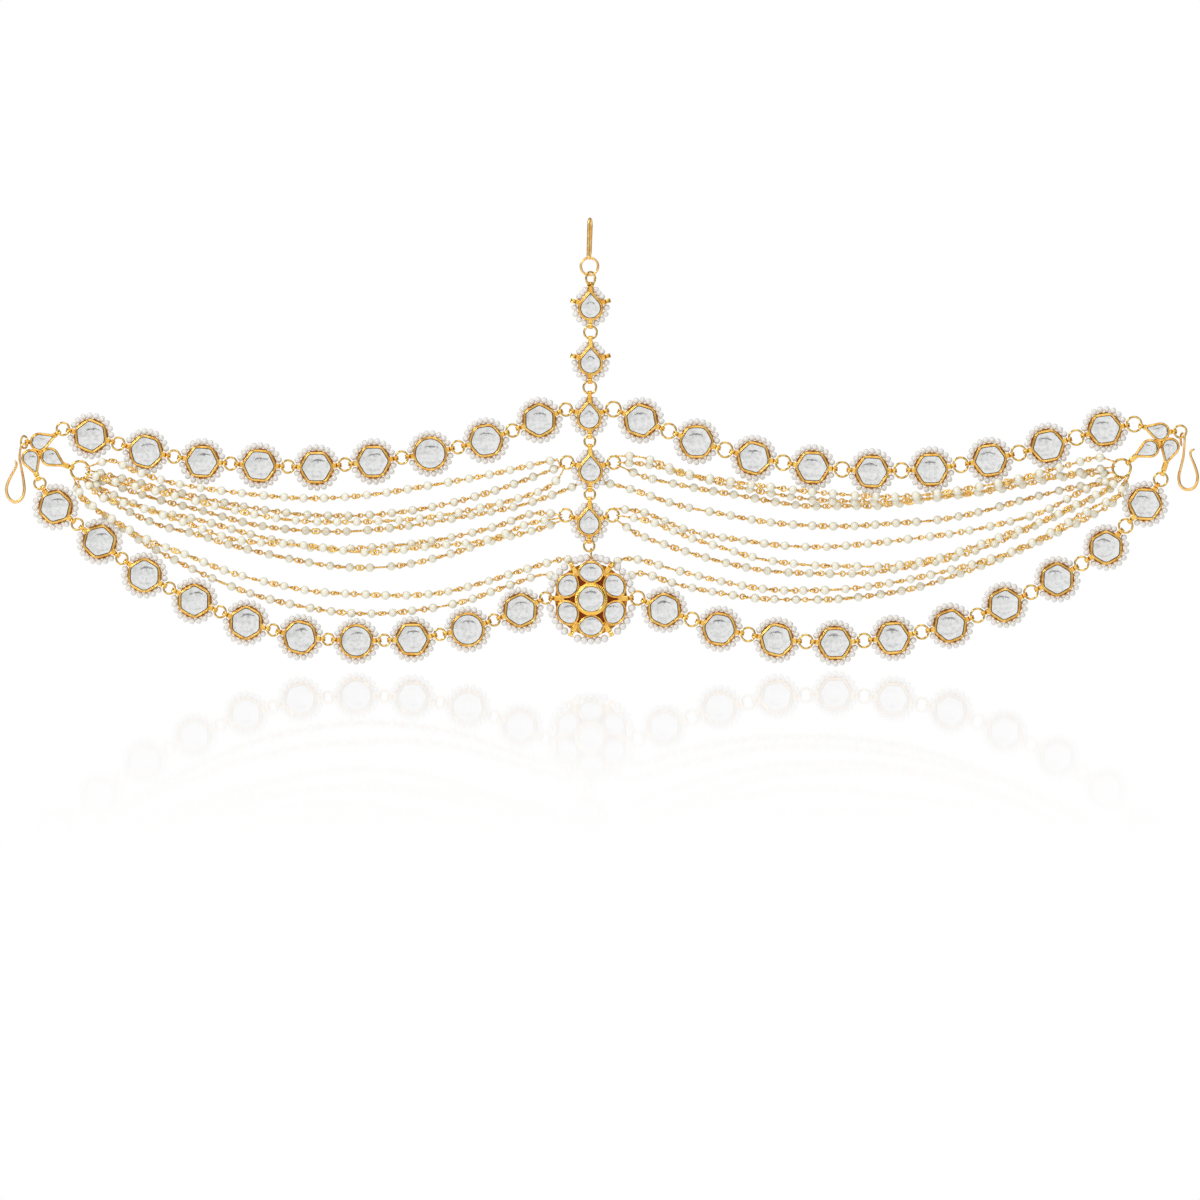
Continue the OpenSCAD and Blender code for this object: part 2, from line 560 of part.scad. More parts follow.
module left_trefoil() {
    trefoil(left_trefoil_table,
        [ring_place(upper_left, count(upper_left)), left_gather,
            ring_place(lower_left, count(lower_left)), left_hook_hole - [hook_ring_r, 0]],
        [ring_size(upper_left), gather_r, ring_size(lower_left), hook_ring_r]);
}
module right_trefoil() {
    trefoil(right_trefoil_table,
        [ring_place(upper_right, count(upper_right)), right_gather,
            ring_place(lower_right, count(lower_right)), right_hook_ring],
        [ring_size(upper_right), gather_r, ring_size(lower_right), hook_ring_r]);
}

// Rings down the middle, the bail, the rings of the chains and those of the side hooks
module centre_rings() {
    top_hole = drop_top(0);
    hook_low = hair_hook_ring - [0, hair_hook_ring_r];
    bail_top = last_ring.y - last_ring_r + 2 * ring_wire + link_gap;
    bail_low = flower.y + flower_tab_reach;
    first_top = hook_low.y + ring_wire + stout_wire + first_ring_gap;
    color(gold) upright() {
        translate([drops[0].x, mix(first_top, top_hole.y, 0.5), lug_depth])
            rotate([0, first_ring_turn, 0]) rotate_extrude()
                translate([(first_top - top_hole.y) / 2, 0]) circle(r = ring_wire);
        for (k = [0 : 3]) jump_ring(mid_ring(k), mid_ring_r(k));
        jump_ring(last_ring, last_ring_r);
        translate([flower.x, mix(bail_top, bail_low, 0.5), lug_depth]) rotate([0, 90, 0])
            rotate_extrude() translate([(bail_top - bail_low) / 2, 0]) circle(r = 0.33);
        for (k = [3, 4]) for (s = [-1, 1]) jump_ring(drop_ring(k, s, drop_ring_r), drop_ring_r);
        jump_ring(left_gather, gather_r, stout_wire);
        jump_ring(right_gather, gather_r, stout_wire);
        jump_ring(right_hook_ring, hook_ring_r);
        translate([left_hook_hole.x, left_hook_hole.y, lug_depth]) rotate([0, left_hook_ring_turn, 0])
            translate([-hook_ring_r, 0, 0]) rotate_extrude() translate([hook_ring_r, 0])
                circle(r = ring_wire);
    }
}

// Hooks
module hair_hook() {
    bend_y = hair_hook_wire - hair_hook_bend;
    legs_front = lug_depth;
    lean = (hair_hook_ring.x + hair_hook_splay) / 2 - hair_hook_splay;
    front_leg = [for (k = [0 : 3])
        [mix(lean - 0.4, -hair_hook_splay, k / 4), mix(-hair_hook_leg, bend_y, k / 4), legs_front]];
    bend = [for (a = [0 : 22.5 : 180])
        [-hair_hook_splay * cos(a), bend_y + hair_hook_bend * sin(a),
            legs_front + hair_hook_bend * (cos(a) - 1)]];
    legs_back = legs_front - 2 * hair_hook_bend;
    back_leg = [for (k = [1 : 4])
        [mix(hair_hook_splay, 0, k / 4), mix(bend_y, -hair_hook_leg, k / 4), legs_back]];
    path = concat(front_leg, bend, back_leg);
    color(gold) upright() {
        tube(path, [for (p = path) hair_hook_wire], [1, 0, 0]);
        translate([hair_hook_ring.x, hair_hook_ring.y, lug_depth]) rotate_extrude()
            translate([hair_hook_ring_r, 0]) circle(r = stout_wire);
    }
}
module side_hook(route) {
    path = smooth(route, 1.6);
    last = len(path) - 1;
    color(gold) upright() tube(path, [for (k = [0 : last])
        side_hook_wire * (1 + side_hook_swell * sin(180 * min(1, max(0, 1.25 * k / last - 0.25))))]);
}

// Pearl chains
function end_depth(at_layer) = lug_depth + at_layer * layer * end_layer_share;
module chain(row, hidden_start = false) {
    places = smooth(row[2], chain_spacing);
    last = len(places) - 1;
    path = [for (k = [0 : last]) [places[k].x, places[k].y,
        k == 0 ? (hidden_start ? hidden_end_depth : end_depth(row[0]))
        : k == last ? end_depth(row[1]) : layer * mix(row[0], row[1], k / last)]];
    color(pearl) upright() tube(path, [for (k = [0 : last]) k == 0 || k == last ? chain_end_r : chain_r]);
}
module left_chain(k) {
    chain(left_chain_table[k - 1], k == 4 || k > 7);
}
module right_chain(k) {
    chain(right_chain_table[k - 1], k == 4 || k > 7);
}

hair_hook();
side_hook(left_hook_route);  // left_side_hook
side_hook(right_hook_route);  // right_side_hook
centre_rings();
for (k = [1 : 5]) drop_setting(k - 1);
for (k = [1 : 5]) drop_stone(k - 1);
drop_halos();
flower_setting();
flower_centre_stone();
flower_petal_stones();
flower_halo();
left_trefoil();
right_trefoil();
trefoil_stones(left_trefoil_table);  // left_trefoil_stones
trefoil_stones(right_trefoil_table);  // right_trefoil_stones
settings(upper_left);  // upper_left_settings
stones(upper_left);  // upper_left_stones
halos(upper_left);  // upper_left_halos
rings(upper_left);  // upper_left_rings
settings(upper_right);  // upper_right_settings
stones(upper_right);  // upper_right_stones
halos(upper_right);  // upper_right_halos
rings(upper_right);  // upper_right_rings
settings(lower_left);  // lower_left_settings
stones(lower_left);  // lower_left_stones
halos(lower_left);  // lower_left_halos
rings(lower_left);  // lower_left_rings
settings(lower_right);  // lower_right_settings
stones(lower_right);  // lower_right_stones
halos(lower_right);  // lower_right_halos
rings(lower_right);  // lower_right_rings
for (k = [1 : 9]) left_chain(k);
for (k = [1 : 9]) right_chain(k);
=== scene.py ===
"""Matha patti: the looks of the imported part, with its studio.

Each piece is drawn lying flat in millimetres, to the right, up and toward the viewer, and
then stood upright in front of the origin, which is the inside of the hair hook's bend.
"""
import math
import random

import bpy
import numpy as np
from mathutils import Matrix


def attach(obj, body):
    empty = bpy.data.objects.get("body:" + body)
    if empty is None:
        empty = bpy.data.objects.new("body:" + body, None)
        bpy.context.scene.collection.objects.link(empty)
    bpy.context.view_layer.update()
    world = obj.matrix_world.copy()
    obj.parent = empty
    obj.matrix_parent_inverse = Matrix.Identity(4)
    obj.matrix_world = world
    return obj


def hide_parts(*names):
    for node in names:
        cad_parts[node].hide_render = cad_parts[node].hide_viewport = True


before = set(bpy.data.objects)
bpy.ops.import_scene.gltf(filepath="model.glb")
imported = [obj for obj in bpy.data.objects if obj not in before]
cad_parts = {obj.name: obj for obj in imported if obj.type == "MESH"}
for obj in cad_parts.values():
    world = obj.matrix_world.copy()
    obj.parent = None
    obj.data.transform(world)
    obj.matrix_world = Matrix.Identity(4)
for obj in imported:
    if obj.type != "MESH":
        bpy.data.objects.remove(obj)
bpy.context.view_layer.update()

MM = 0.001
HANG_DEPTH = 1.5
BODY = "root"

# Sizes of the part, as in its source
BACK, SEAT = -1.5, -0.1
LUG_DEPTH = 0.7
STONE_FLAT, STONE_CORNER = 4.85, 5.4
LUG_REACH = 8.05
HALO_R = 7.3
DROPS = [(0.2, -30.7), (0.2, -50.5), (-0.3, -70.3), (0.2, -89.4), (-0.3, -108.4)]
DROP_R, DROP_POINT, DROP_BLUNT = 3.6, 5.2, 0.3
DROP_HALO_R, DROP_HALO_POINT, DROP_HALO_BLUNT = 5.75, 5.4, 2.2
DROP_CENTRE, DROP_HALO_CENTRE = -0.95, -0.9
FIRST_TOP, DROP_TOP, DROP_BOTTOM, LAST_BOTTOM = 7.5, 7.9, 7.3, 6.9
DROP_SIDE, DROP_TILT, DROP_RING = 6.4, 15, 2.3
FLOWER = (0.4, -136.3)
FLOWER_REACH, FLOWER_WAIST, FLOWER_HALO_R = 14.3, 11.2, 15.0
HUB_STONE_R, HUB_LIFT = 4.65, 0.8
PETALS, PETAL_MID, PETAL_R, PETAL_LONG, PETAL_TIP = 6, 9.3, 4.25, 3.75, 6.2
PETAL_SHOULDER, PETAL_CHEEK = (7.65, 3.05), (6.75, 1.8)
PITCH = {"upper_left": 20.6, "upper_right": 21.4, "lower_left": 20.2, "lower_right": 21.0}
FALLS = {
    "upper_left": [22, 21, 13, 8, 6, -2, -4, -10, -16, -14],
    "upper_right": [22, 21, 16, 9, 4, -2, -9, -14, -16, -10],
    "lower_left": [26, 20, 10, 2, -4, -15, -23, -27, -37, -38, -57],
    "lower_right": [24, 19, 11, 3, -5, -12, -21, -26, -33, -48, -58],
}
TURNS = {
    "upper_left": [30, 10, 0, 1, 0, -5, -4, 44, 36],
    "upper_right": [41, 0, 43, -2, -4, 1, 8, 12, 8],
    "lower_left": [26, 0, 0, 0, 45, 30, 30, 30, 15, 16],
    "lower_right": [35, 50, 45, 0, 3, 21, 27, 29, 29, -3],
}
ROUNDNESS = {
    "upper_left": [0.1, 0.6, 1, 0.1, 0, 0.2, 0, 0.4, 0],
    "upper_right": [0, 0.6, 0.1, 0, 0.1, 0.1, 0, 0, 0],
    "lower_left": [0.2, 1, 0, 1, 0.5, 0.1, 0, 0.5, 0, 0],
    "lower_right": [0.3, 0.5, 0.1, 0.1, 0, 0.1, 0, 0, 0.1, 0],
}
TREFOILS = {
    "left": [((-197.2, -79.4), 22), ((-193.5, -85.6), -31), ((-200.9, -86.6), -70)],
    "right": [((204.3, -75.8), 163), ((200.6, -82.5), 207), ((208.5, -82.5), 255)],
}
TREFOIL_R, TREFOIL_POINT, TREFOIL_BLUNT, TREFOIL_SHIFT = 2.65, 4.95, 0.25, 1.0
GATHERS = {"left": (-183.5, -89.9), "right": (191.3, -89.2)}
GATHER_R = 3.25
HOOK_LUGS = {"left": (-204.6, -79.8), "right": (212.4, -76.0)}
HOOK_RING_R = 2.2

# Hooks: routes of their wires, to the right, up and toward the front
HOOK_ROUTES = {
    "left": [
        (-202.6, -81.7, -1.1), (-203, -80.8, -1.1), (-203.8, -80.4, -1.1), (-204.6, -80.9, -1.1),
        (-205, -82.2, -1.1), (-205.3, -84.2, -1.1), (-205.3, -86.2, -1), (-204.9, -88, -0.8),
        (-204.3, -91, -0.6), (-203.8, -94, -0.4), (-203.6, -97.3, -0.2), (-204.4, -99.9, 0),
        (-206.7, -101.4, 0), (-209, -100.1, 0), (-210, -97.3, 0), (-209.5, -94.5, 0),
        (-208, -91.4, 0), (-206.6, -88.8, 0), (-206.4, -87.4, 0), (-207, -86.4, 0)],
    "right": [
        (213, -81.4, -0.25), (212.7, -80, -0.4), (212.6, -78.5, -0.4), (212.7, -77.2, -0.1),
        (213.2, -76.6, 0.7), (213.7, -77.2, 1.5), (213.9, -78.5, 1.8), (213.9, -80, 1.7),
        (213.8, -81.5, 1.3), (213.7, -82.8, 0.9), (213.5, -85, 0.7), (212.8, -88.2, 0.7),
        (211.9, -91.9, 0.7), (212.2, -94.9, 0.7), (213.5, -96.4, 0.7), (215.2, -96.9, 0.7),
        (217.3, -96.2, 0.7), (218.4, -94.2, 0.7), (218.6, -91.8, 0.7), (217.5, -88, 0.7),
        (216.2, -84.9, 0.7), (216.2, -83.1, 0.7), (217.6, -82.3, 0.7)],
}

# Pearl chains: layers at the inner and outer end, then the route from the middle outward
CHAINS = {
    "left": [
        (1, 1, [(-11.5, -86.6), (-14, -86.5), (-36, -91.5), (-58, -95.5), (-81, -99), (-103, -100),
         (-127, -98), (-150, -94.5), (-164, -90), (-172, -86.5), (-179.7, -88.4)]),
        (0, 0, [(-11.1, -88.8), (-35, -97.5), (-56, -103), (-78.5, -106), (-101.5, -106),
         (-124.5, -103), (-148, -98), (-166, -93.5), (-179.3, -90.2)]),
        (1, 1, [(-9.8, -90.1), (-11.5, -93), (-18, -97.5), (-35, -102.5), (-59, -107),
         (-82, -108.5), (-106, -108), (-127, -104.5), (-150, -99), (-169, -94.5), (-179.7, -91.5)]),
        (-1, -1, [(-3.6, -94.4), (-9, -97), (-25, -102.5), (-48, -107), (-70, -110.5),
         (-92.5, -112), (-118, -110), (-141.5, -104), (-157, -100), (-172, -95), (-179.9, -92.6)]),
        (0, 0, [(-12.1, -105.8), (-21, -105.6), (-35, -110.5), (-57.5, -115.5), (-83, -118),
         (-98, -118), (-118, -114), (-142, -107.5), (-157, -104.5), (-172, -98.5),
         (-180.4, -93.3)]),
        (1, 1, [(-11.9, -107.3), (-23, -109.5), (-37, -115), (-59, -117.5), (-80, -119.5),
         (-102.5, -117), (-127, -115), (-145, -109), (-164.5, -102.5), (-175, -100),
         (-181.7, -93.9)]),
        (-1, -1, [(-11.2, -108.4), (-20, -111.5), (-36, -115.5), (-52, -120.5), (-67, -124),
         (-83, -125), (-99, -123.5), (-125, -118), (-141.5, -113), (-155.5, -109.5), (-169, -103),
         (-180.9, -93.6)]),
        (-1, 1, [(-6.4, -124.5), (-9, -121.8), (-24.5, -126), (-39, -130.5), (-53.5, -134),
         (-68, -135), (-84, -134.5), (-99.5, -133.5), (-115, -130.5), (-130, -126.5),
         (-145, -120.5), (-159, -115), (-173.5, -106.5), (-182.6, -99.5), (-184, -94.5)]),
        (-1, -1, [(-11.4, -129.5), (-17, -127.5), (-31, -132), (-45, -137), (-60, -140),
         (-76, -141.5), (-90.5, -141), (-106, -138.5), (-120, -135), (-134.5, -129.5),
         (-149, -122.5), (-161.5, -115.5), (-173, -107.5), (-182.5, -100.5), (-185.2, -94.3)]),
    ],
    "right": [
        (1, 1, [(11, -84.8), (19.5, -85.5), (34.5, -91), (51, -94), (73, -97), (89, -98.5),
         (107.5, -99.5), (123, -98.5), (139, -96), (154, -93), (170.5, -88.5), (182, -85.4),
         (187.7, -86.5)]),
        (0, 0, [(12, -87.2), (21, -88), (34.5, -91.5), (51, -95.5), (76, -100), (91, -101),
         (107.5, -101.2), (123, -100), (139.5, -97.8), (154, -93.7), (169, -91.7), (186.9, -88.9)]),
        (-1, -1, [(11.5, -88.8), (20.5, -92.5), (36.5, -96), (51, -98.5), (75, -102.5),
         (91.5, -102.7), (107.5, -102.4), (128, -99.1), (143.5, -97.5), (161, -94), (175, -91.7),
         (187.1, -90.8)]),
        (-1, -1, [(4, -94.2), (10.5, -95.5), (17, -97.5), (32, -102.5), (48, -105.7),
         (63.5, -108.5), (79, -109.8), (94, -110), (109.5, -109), (125, -107.8), (140, -105),
         (154.5, -101), (170.5, -96.9), (181, -94.8), (187.9, -92.6)]),
        (0, 0, [(10.5, -103.8), (20.5, -105.5), (36.5, -112), (54, -115), (69, -117),
         (84.5, -117.5), (99.5, -116.4), (115.5, -114.6), (131.5, -112.5), (146.5, -109.5),
         (162.5, -105), (177, -97.5), (188.6, -93)]),
        (1, 1, [(11.4, -106.4), (22, -108.5), (34, -113.5), (48, -118), (62, -122), (78, -124),
         (93, -124.5), (108.5, -124.3), (125, -121.5), (134, -118.8), (150, -113), (166.5, -106.5),
         (177, -101), (185.5, -97), (189.7, -93.4)]),
        (-1, -1, [(10.5, -108.5), (18.5, -113.5), (34, -119), (48, -123), (63, -126), (80, -127),
         (96.5, -127), (112, -125.2), (129, -121.8), (144.5, -116.8), (160, -110), (178, -101.5),
         (186, -97.5), (190.7, -93.7)]),
        (-1, 1, [(7.2, -124.5), (11.5, -122), (18.5, -122.3), (31.5, -126), (50, -130.5),
         (64, -132.8), (78, -133.2), (94, -132.5), (111, -130), (129, -126), (145, -121.5),
         (159, -116), (173, -108), (182, -102.8), (189.8, -99.2), (192.2, -93.7)]),
        (-1, -1, [(12.2, -129.5), (18.5, -127), (31.5, -131), (45, -133.8), (60, -136),
         (75, -136.5), (90.5, -136.2), (107, -134.2), (120, -131.5), (135.5, -126.3), (151, -120.3),
         (165, -114), (181, -106), (190, -100), (193.3, -93.5)]),
    ],
}
CHAIN_LAYER = 3.1
CHAIN_END_SHARE = 0.3
CHAIN_HIDDEN_DEPTH = -2.2
CHAINS_FROM_BEHIND = (4, 8, 9)

# Pearls and their wires
PEARL_R = 1.62
PEARL_STEP = 7.5
PEARL_FROM_END = (2.1, 4.5, 3.3)
LOOP_R, LOOP_WIRE = 0.88, 0.3
END_EYE = (0.5, 1.25, 0.72)
SEED_R = 1.18
SEEDS_EACH_SIDE, SEEDS_OFF_LUG = 9, 18.5
DROP_SEEDS_OFF_LUG = 2.15
BINDING_IN, BINDING_STRETCH = 0.62, (0.36, 0.3, 1)
LINK_HALF, HIDDEN_LINK = 0.55, 0.75
CHAIN_RISE = 7

# Flower's seed pearls: from one lug to the next in degrees, millimetres left free, and number
FLOWER_SEEDS = [
    (0, 60, 3.2, 2.5, 5), (60, 90, 2.1, 1.6, 3), (90, 120, 1.6, 2.1, 3), (120, 180, 2.5, 3.2, 5),
    (180, 240, 3.2, 2.5, 5), (240, 300, 2.9, 2.9, 5), (300, 360, 2.5, 3.2, 5)]
FLOWER_SEED_SHARE = 1.2


def linear(code, alpha=1.0):
    """A colour for a shader, from its sRGB hex code."""
    parts = [int(code[k:k + 2], 16) / 255 for k in (1, 3, 5)]
    return [p / 12.92 if p <= 0.04045 else ((p + 0.055) / 1.055) ** 2.4 for p in parts] + [alpha]


def add(tree, kind, inputs=None, **settings):
    """Adds a node with its settings, and with values or links for its inputs."""
    made = tree.nodes.new(kind)
    for name, value in settings.items():
        setattr(made, name, value)
    for name, value in (inputs or {}).items():
        if isinstance(value, bpy.types.NodeSocket):
            tree.links.new(value, made.inputs[name])
        else:
            made.inputs[name].default_value = value
    return made


def new_material(name):
    """An empty material with its output, and the surface's place in millimetres."""
    made = bpy.data.materials.new(name)
    made.use_nodes = True
    tree = made.node_tree
    tree.nodes.clear()
    output = add(tree, "ShaderNodeOutputMaterial")
    place = add(tree, "ShaderNodeTexCoord")
    in_mm = add(tree, "ShaderNodeVectorMath", {0: place.outputs["Object"], 1: (1000,) * 3},
                operation="MULTIPLY")
    return made, tree, output, in_mm.outputs[0]


def noise(tree, place, size_mm, detail, roughness=0.5):
    """Soft noise whose patches have a size in millimetres."""
    return add(tree, "ShaderNodeTexNoise", {"Vector": place, "Scale": 1 / size_mm,
                                            "Detail": detail, "Roughness": roughness}).outputs[0]


def spread(tree, value, low, high, to_low=0.0, to_high=1.0):
    """A value between two levels, spread out between two others."""
    return add(tree, "ShaderNodeMapRange", {"Value": value, "From Min": low, "From Max": high,
                                            "To Min": to_low, "To Max": to_high}).outputs[0]


def blend(tree, share, first, second):
    """A colour between two sRGB hex codes or colours already made."""
    first, second = (linear(c) if isinstance(c, str) else c for c in (first, second))
    return add(tree, "ShaderNodeMix", {0: share, 6: first, 7: second},
               data_type="RGBA").outputs[2]


def bumps(tree, height, strength, depth_mm, width=0.1):
    return add(tree, "ShaderNodeBump", {"Height": height, "Strength": strength,
                                        "Distance": depth_mm * MM,
                                        "Filter Width": width}).outputs[0]


def surface(tree, output, inputs):
    shader = add(tree, "ShaderNodeBsdfPrincipled", inputs)
    tree.links.new(shader.outputs[0], output.inputs["Surface"])


def gold_plate(name, light, dark, roughness, dent_mm, dent_strength):
    """Gold-plated brass, polished by hand: bright, with soft dents left by the burnisher."""
    made, tree, output, place = new_material(name)
    patches = spread(tree, noise(tree, place, 2.4, 3.0), 0.35, 0.65)
    wear = noise(tree, place, max(0.7, dent_mm), 2.0)
    dents = noise(tree, place, dent_mm, 1.0)
    surface(tree, output, {
        "Base Color": blend(tree, patches, light, dark), "Metallic": 1.0,
        "Roughness": spread(tree, wear, 0.3, 0.7, roughness * 0.7, roughness * 1.5),
        "Coat Weight": 0.35, "Coat Roughness": 0.1,
        "Normal": bumps(tree, dents, dent_strength, 0.08, 1.0)})
    return made


def pearl_lustre(name, body, wire_reflection, lustre, roughness, coat):
    """Glass pearl: satin coat over a pale core, and painted reflection of the gold wire at its
    holes.
    """
    made, tree, output, place = new_material(name)
    # Near the drilled ends the colour is painted reflection of the gold wire.
    hole = add(tree, "ShaderNodeAttribute", attribute_name="hole")
    pale = blend(tree, noise(tree, place, 3.0, 2.0), body, lustre)
    surface(tree, output, {
        "Base Color": blend(tree, hole.outputs["Fac"], pale, wire_reflection),
        "Roughness": roughness, "IOR": 1.53,
        "Coat Weight": coat, "Coat Roughness": 0.12, "Coat IOR": 1.5,
        "Normal": bumps(tree, noise(tree, place, 0.5, 2.0), 0.25, 0.03)})
    return made


def painted_gap_shade():
    """Painted shade of the gap between a stone and its setting: a thin dull grey-brown line,
    patchy.
    """
    made, tree, output, place = new_material("painted_shade_of_stone_rim_gap")
    # The whole line is painted shade of the gap; the noise only makes it patchy.
    patchiness = spread(tree, noise(tree, place, 1.8, 2.0), 0.4, 0.6)
    surface(tree, output, {"Base Color": blend(tree, patchiness, "#5E574C", "#8C8980"),
                           "Roughness": 0.6})
    return made


def foiled_glass():
    """Cut glass over silver foil: the foil's facets show grey and white under a clear face."""
    made, tree, output, place = new_material("cut_glass_over_silver_foil")
    cuts = add(tree, "ShaderNodeTexVoronoi", {"Vector": place, "Scale": 1 / 2.7,
                                              "Randomness": 0.9}, distance="MANHATTAN")
    fine = add(tree, "ShaderNodeTexVoronoi", {"Vector": place, "Scale": 1 / 1.1},
               distance="MANHATTAN")
    height = add(tree, "ShaderNodeMath", {0: fine.outputs["Distance"], 1: 0.22,
                                          2: cuts.outputs["Distance"]}, operation="MULTIPLY_ADD")
    creases = spread(tree, noise(tree, place, 1.3, 5.0, 0.65), 0.45, 0.8)
    surface(tree, output, {
        "Base Color": blend(tree, creases, "#EAEBEA", "#BABDBA"), "Metallic": 0.8,
        "Roughness": 0.08, "IOR": 1.52, "Coat Weight": 1.0, "Coat Roughness": 0.02,
        "Coat IOR": 1.6, "Normal": bumps(tree, height.outputs[0], 0.1, 0.15)})
    return made


def painted_recess_shade():
    """Painted shade of the recess between the petals: a deep brown metal ground with a fine grain.
    """
    made, tree, output, place = new_material("painted_recess_shade_between_petals")
    grain = noise(tree, place, 0.6, 5.0)
    # The brown stands for shade in the recess under the petals; the grain is random.
    surface(tree, output, {
        "Base Color": blend(tree, grain, "#6E2A06", "#9C4C14"), "Metallic": 0.7,
        "Roughness": 0.48, "Normal": bumps(tree, grain, 0.6, 0.12)})
    return made


GOLD = gold_plate("gold_plated_brass_settings", "#FFCF6C", "#E2A444", 0.14, 1.0, 0.55)
GOLD_LUG = gold_plate("gold_plated_brass_lugs", "#FFD670", "#F2B244", 0.14, 0.8, 0.45)
GOLD_RING = gold_plate("gold_plated_brass_rings", "#F2CC70", "#C29A40", 0.12, 1.6, 0.12)
GOLD_WIRE = gold_plate("gold_plated_eye_pins", "#FFDA80", "#EBB450", 0.2, 0.7, 0.15)
GOLD_THREAD = gold_plate("gold_plated_binding_wire", "#FFE4AC", "#F2C880", 0.3, 0.7, 0.1)
GOLD_HOOK = gold_plate("gold_plated_brass_hooks", "#FFDC92", "#FBC066", 0.3, 3.5, 0.01)
# A pearl's third colour is painted reflection of the gold wire near its drilled ends.
CREAM_PEARL = pearl_lustre("cream_glass_pearls", "#F6F3DF", "#E2D4A2", "#FCFAEE", 0.28, 0.3)
SEED_PEARL = pearl_lustre("white_seed_pearls", "#ECEBE8", "#EFE8DE", "#F3F2F0", 0.42, 0.06)
GLASS = foiled_glass()
PAINTED_GAP_SHADE = painted_gap_shade()
PAINTED_RECESS_SHADE = painted_recess_shade()


class Shape:
    """Points and faces of one piece, with how near each point is to a drilled hole."""

    def __init__(self):
        self.points, self.faces, self.holes, self.kinds, self.count = [], [], [], [], 0

    def add(self, part, hole=None, kind=0):
        points, faces = part
        start = self.count
        self.points.append(points)
        self.holes.append(np.zeros(len(points)) if hole is None else hole)
        self.faces.extend([tuple(k + start for k in face) for face in faces])
        self.kinds.extend([kind] * len(faces))
        self.count += len(points)


def make(name, shape, materials, slot, *nodes):
    """Stands a shape upright as a piece in place of its plain solids."""
    flat = np.concatenate(shape.points)
    upright = np.column_stack([flat[:, 0], -(flat[:, 2] + HANG_DEPTH), flat[:, 1]]) * MM
    mesh = bpy.data.meshes.new(name)
    mesh.from_pydata(upright.tolist(), [], shape.faces)
    mesh.update()
    mesh.polygons.foreach_set("use_smooth", [True] * len(shape.faces))
    mesh.polygons.foreach_set("material_index", shape.kinds)
    near = mesh.attributes.new("hole", "FLOAT", "POINT")
    near.data.foreach_set("value", np.concatenate(shape.holes).astype(np.float32))
    for material in materials:
        mesh.materials.append(material)
    piece = bpy.data.objects.new(name, mesh)
    bpy.context.scene.collection.objects.link(piece)
    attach(piece, BODY)
    if nodes:
        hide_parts(*nodes)


def unit(v):
    v = np.asarray(v, float)
    return v / np.linalg.norm(v)


def toward(angle):
    return np.array([math.cos(math.radians(angle)), math.sin(math.radians(angle))])


def spun(points, turn, at):
    """Flat points turned by an angle and moved to a place."""
    spin = math.radians(turn)
    turn_by = np.array([[math.cos(spin), math.sin(spin)], [-math.sin(spin), math.cos(spin)]])
    return np.array(points) @ turn_by + np.asarray(at)


def axes_of(axis, side=(0, 0, 1)):
    """Three square axes, the last one along the given axis."""
    axis = unit(axis)
    first = np.asarray(side, float) - np.dot(side, axis) * axis
    if np.linalg.norm(first) < 1e-6:
        first = np.array([1.0, 0, 0]) - axis[0] * axis
    first = unit(first)
    return np.array([first, np.cross(axis, first), axis])


def placed(part, centre, axis=(0, 0, 1), side=(1, 0, 0), stretch=(1, 1, 1)):
    points, faces = part
    return points * np.array(stretch) @ axes_of(axis, side) + np.asarray(centre, float), faces


def turned_section(section, steps, closed=True):
    """A section of (radius, height) points turned round the Z axis."""
    n = len(section)
    points = np.array([[r * math.cos(a), r * math.sin(a), h]
                       for a in np.arange(steps) * 2 * math.pi / steps for r, h in section])
    faces = [(k * n + s, ((k + 1) % steps) * n + s, ((k + 1) % steps) * n + (s + 1) % n,
              k * n + (s + 1) % n)
             for k in range(steps) for s in range(n if closed else n - 1)]
    return points, faces


def turned_plate(section, steps, middle):
    """A plate whose section runs from its middle out over the rim and back to its middle."""
    points, faces = turned_section(section, steps, closed=False)
    return points + [*middle, 0], [face[::-1] for face in faces]


def wire_ring(radius, wire, steps=20, sides=8):
    angles = np.arange(sides) * 2 * math.pi / sides
    return turned_section([(radius + wire * math.cos(a), wire * math.sin(a)) for a in angles],
                          steps)


def ball(segments, rings):
    """A ball of radius 1 with its drilled ends on the Z axis, and how near each point is."""
    points, near = [(0, 0, -1)], [1.0]
    for k in range(1, rings):
        tilt = math.pi * k / rings
        for s in range(segments):
            turn = 2 * math.pi * s / segments
            points.append((math.sin(tilt) * math.cos(turn), math.sin(tilt) * math.sin(turn),
                           -math.cos(tilt)))
            near.append(max(0.0, abs(math.cos(tilt)) * 2.2 - 1.3))
    points.append((0, 0, 1))
    near.append(1.0)
    last = len(points) - 1
    faces = [(0, 1 + (s + 1) % segments, 1 + s) for s in range(segments)]
    for k in range(rings - 2):
        a, b = 1 + k * segments, 1 + (k + 1) * segments
        faces += [(a + s, a + (s + 1) % segments, b + (s + 1) % segments, b + s)
                  for s in range(segments)]
    a = 1 + (rings - 2) * segments
    faces += [(a + s, a + (s + 1) % segments, last) for s in range(segments)]
    return (np.array(points, float), faces), np.array(near)


